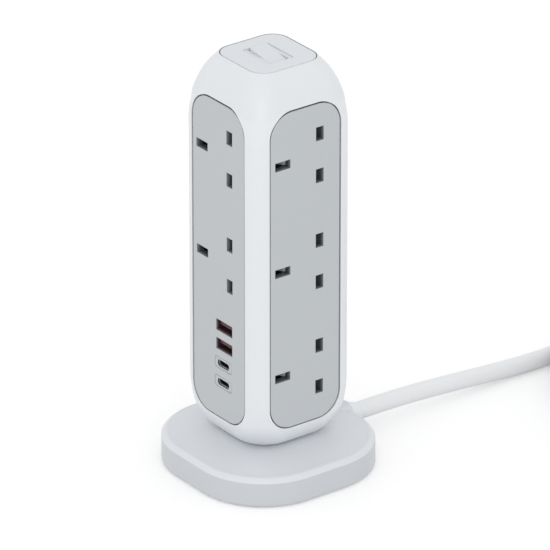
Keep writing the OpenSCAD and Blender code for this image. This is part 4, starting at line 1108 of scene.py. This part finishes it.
class TOWER_OT_stage(bpy.types.Operator):
    """Sets up the camera, the white floor and the soft light"""

    bl_idname = "tower.stage"
    bl_label = "Stage"

    def execute(self, context):
        s = stage()
        scene = context.scene
        scene.view_settings.view_transform = "Standard"
        target = Vector(s.target)
        back = Vector((math.sin(s.azimuth) * math.cos(s.elevation),
                       -math.cos(s.azimuth) * math.cos(s.elevation), math.sin(s.elevation)))
        data = bpy.data.cameras.new("camera")
        data.lens = s.lens
        data.sensor_width = SENSOR_WIDTH
        data.clip_start, data.clip_end = CLIP
        camera = bpy.data.objects.new("camera", data)
        scene.collection.objects.link(camera)
        camera.location = target + back * s.distance
        camera.rotation_euler = (-back).to_track_quat("-Z", "Y").to_euler()
        scene.camera = camera
        self.floor(s)
        self.world(scene, s)
        side = Vector((math.cos(s.azimuth), math.sin(s.azimuth), 0))
        near = side.cross(UP)
        lamp("front_light", target, target + near * 1.5 + UP * 0.6, s.front_light)
        lamp("left_light", target, target + near * 0.2 - side * 1.6 + UP * 0.2, s.left_light)
        return {"FINISHED"}

    def floor(self, s):
        floor = box_piece("floor", (-STAGE_FLOOR_HALF, -STAGE_FLOOR_HALF, -STAGE_FLOOR_THICKNESS),
                          (STAGE_FLOOR_HALF, STAGE_FLOOR_HALF, 0.0))
        material = bpy.data.materials.new("floor_white")
        material.use_nodes = True
        tree = material.node_tree
        surface = tree.nodes["Principled BSDF"]
        surface.inputs["Base Color"].default_value = (s.floor_tone,) * 3 + (1,)
        surface.inputs["Roughness"].default_value = 0.9
        surface.inputs["Specular IOR Level"].default_value = 0.0
        surface.inputs["Emission Color"].default_value = (1, 1, 1, 1)
        tree.links.new(maths(tree, "MULTIPLY", seen_by_eye(tree), s.floor_glow),
                       surface.inputs["Emission Strength"])
        floor.data.materials.append(material)

    def world(self, scene, s):
        world = bpy.data.worlds.new("studio")
        world.use_nodes = True
        scene.world = world
        tree = world.node_tree
        tree.nodes.clear()
        plain = add_node(tree, "ShaderNodeBackground", (0, 100), Strength=s.ambient)
        white = add_node(tree, "ShaderNodeBackground", (0, -100), Strength=1.0)
        for node in (plain, white):
            node.inputs["Color"].default_value = (1, 1, 1, 1)
        mix = tree.nodes.new("ShaderNodeMixShader")
        tree.links.new(seen_by_eye(tree), mix.inputs["Fac"])
        tree.links.new(plain.outputs[0], mix.inputs[1])
        tree.links.new(white.outputs[0], mix.inputs[2])
        out = tree.nodes.new("ShaderNodeOutputWorld")
        tree.links.new(mix.outputs[0], out.inputs["Surface"])


class TOWER_PT_panel(bpy.types.Panel):
    """Lists the pieces in build order"""

    bl_idname = "TOWER_PT_panel"
    bl_label = "Charging tower"
    bl_space_type = "VIEW_3D"
    bl_region_type = "UI"
    bl_category = "Tower"

    def draw(self, context):
        for step in STEPS:
            self.layout.operator(step.bl_idname)


STEPS = [TOWER_OT_stage, TOWER_OT_mains_cord, TOWER_OT_base, TOWER_OT_tower_shell,
         TOWER_OT_faceplates, TOWER_OT_springs, TOWER_OT_top_switch, TOWER_OT_usb_ports,
         TOWER_OT_inner_parts, TOWER_OT_plug]
SETTINGS = {"tower_shell": ShellSizes, "tower_cord": CordSizes, "tower_colours": FinishColours,
            "tower_stage": StageSettings}


def register():
    for kind in [*SETTINGS.values(), *STEPS, TOWER_PT_panel]:
        bpy.utils.register_class(kind)
    for name, kind in SETTINGS.items():
        setattr(bpy.types.Scene, name, bpy.props.PointerProperty(type=kind))


def unregister():
    for name in SETTINGS:
        delattr(bpy.types.Scene, name)
    for kind in reversed([*SETTINGS.values(), *STEPS, TOWER_PT_panel]):
        bpy.utils.unregister_class(kind)


def main():
    register()
    build_finishes()
    for step in STEPS:
        group, name = step.bl_idname.split(".")
        getattr(getattr(bpy.ops, group), name)()


if __name__ == "__main__":
    main()
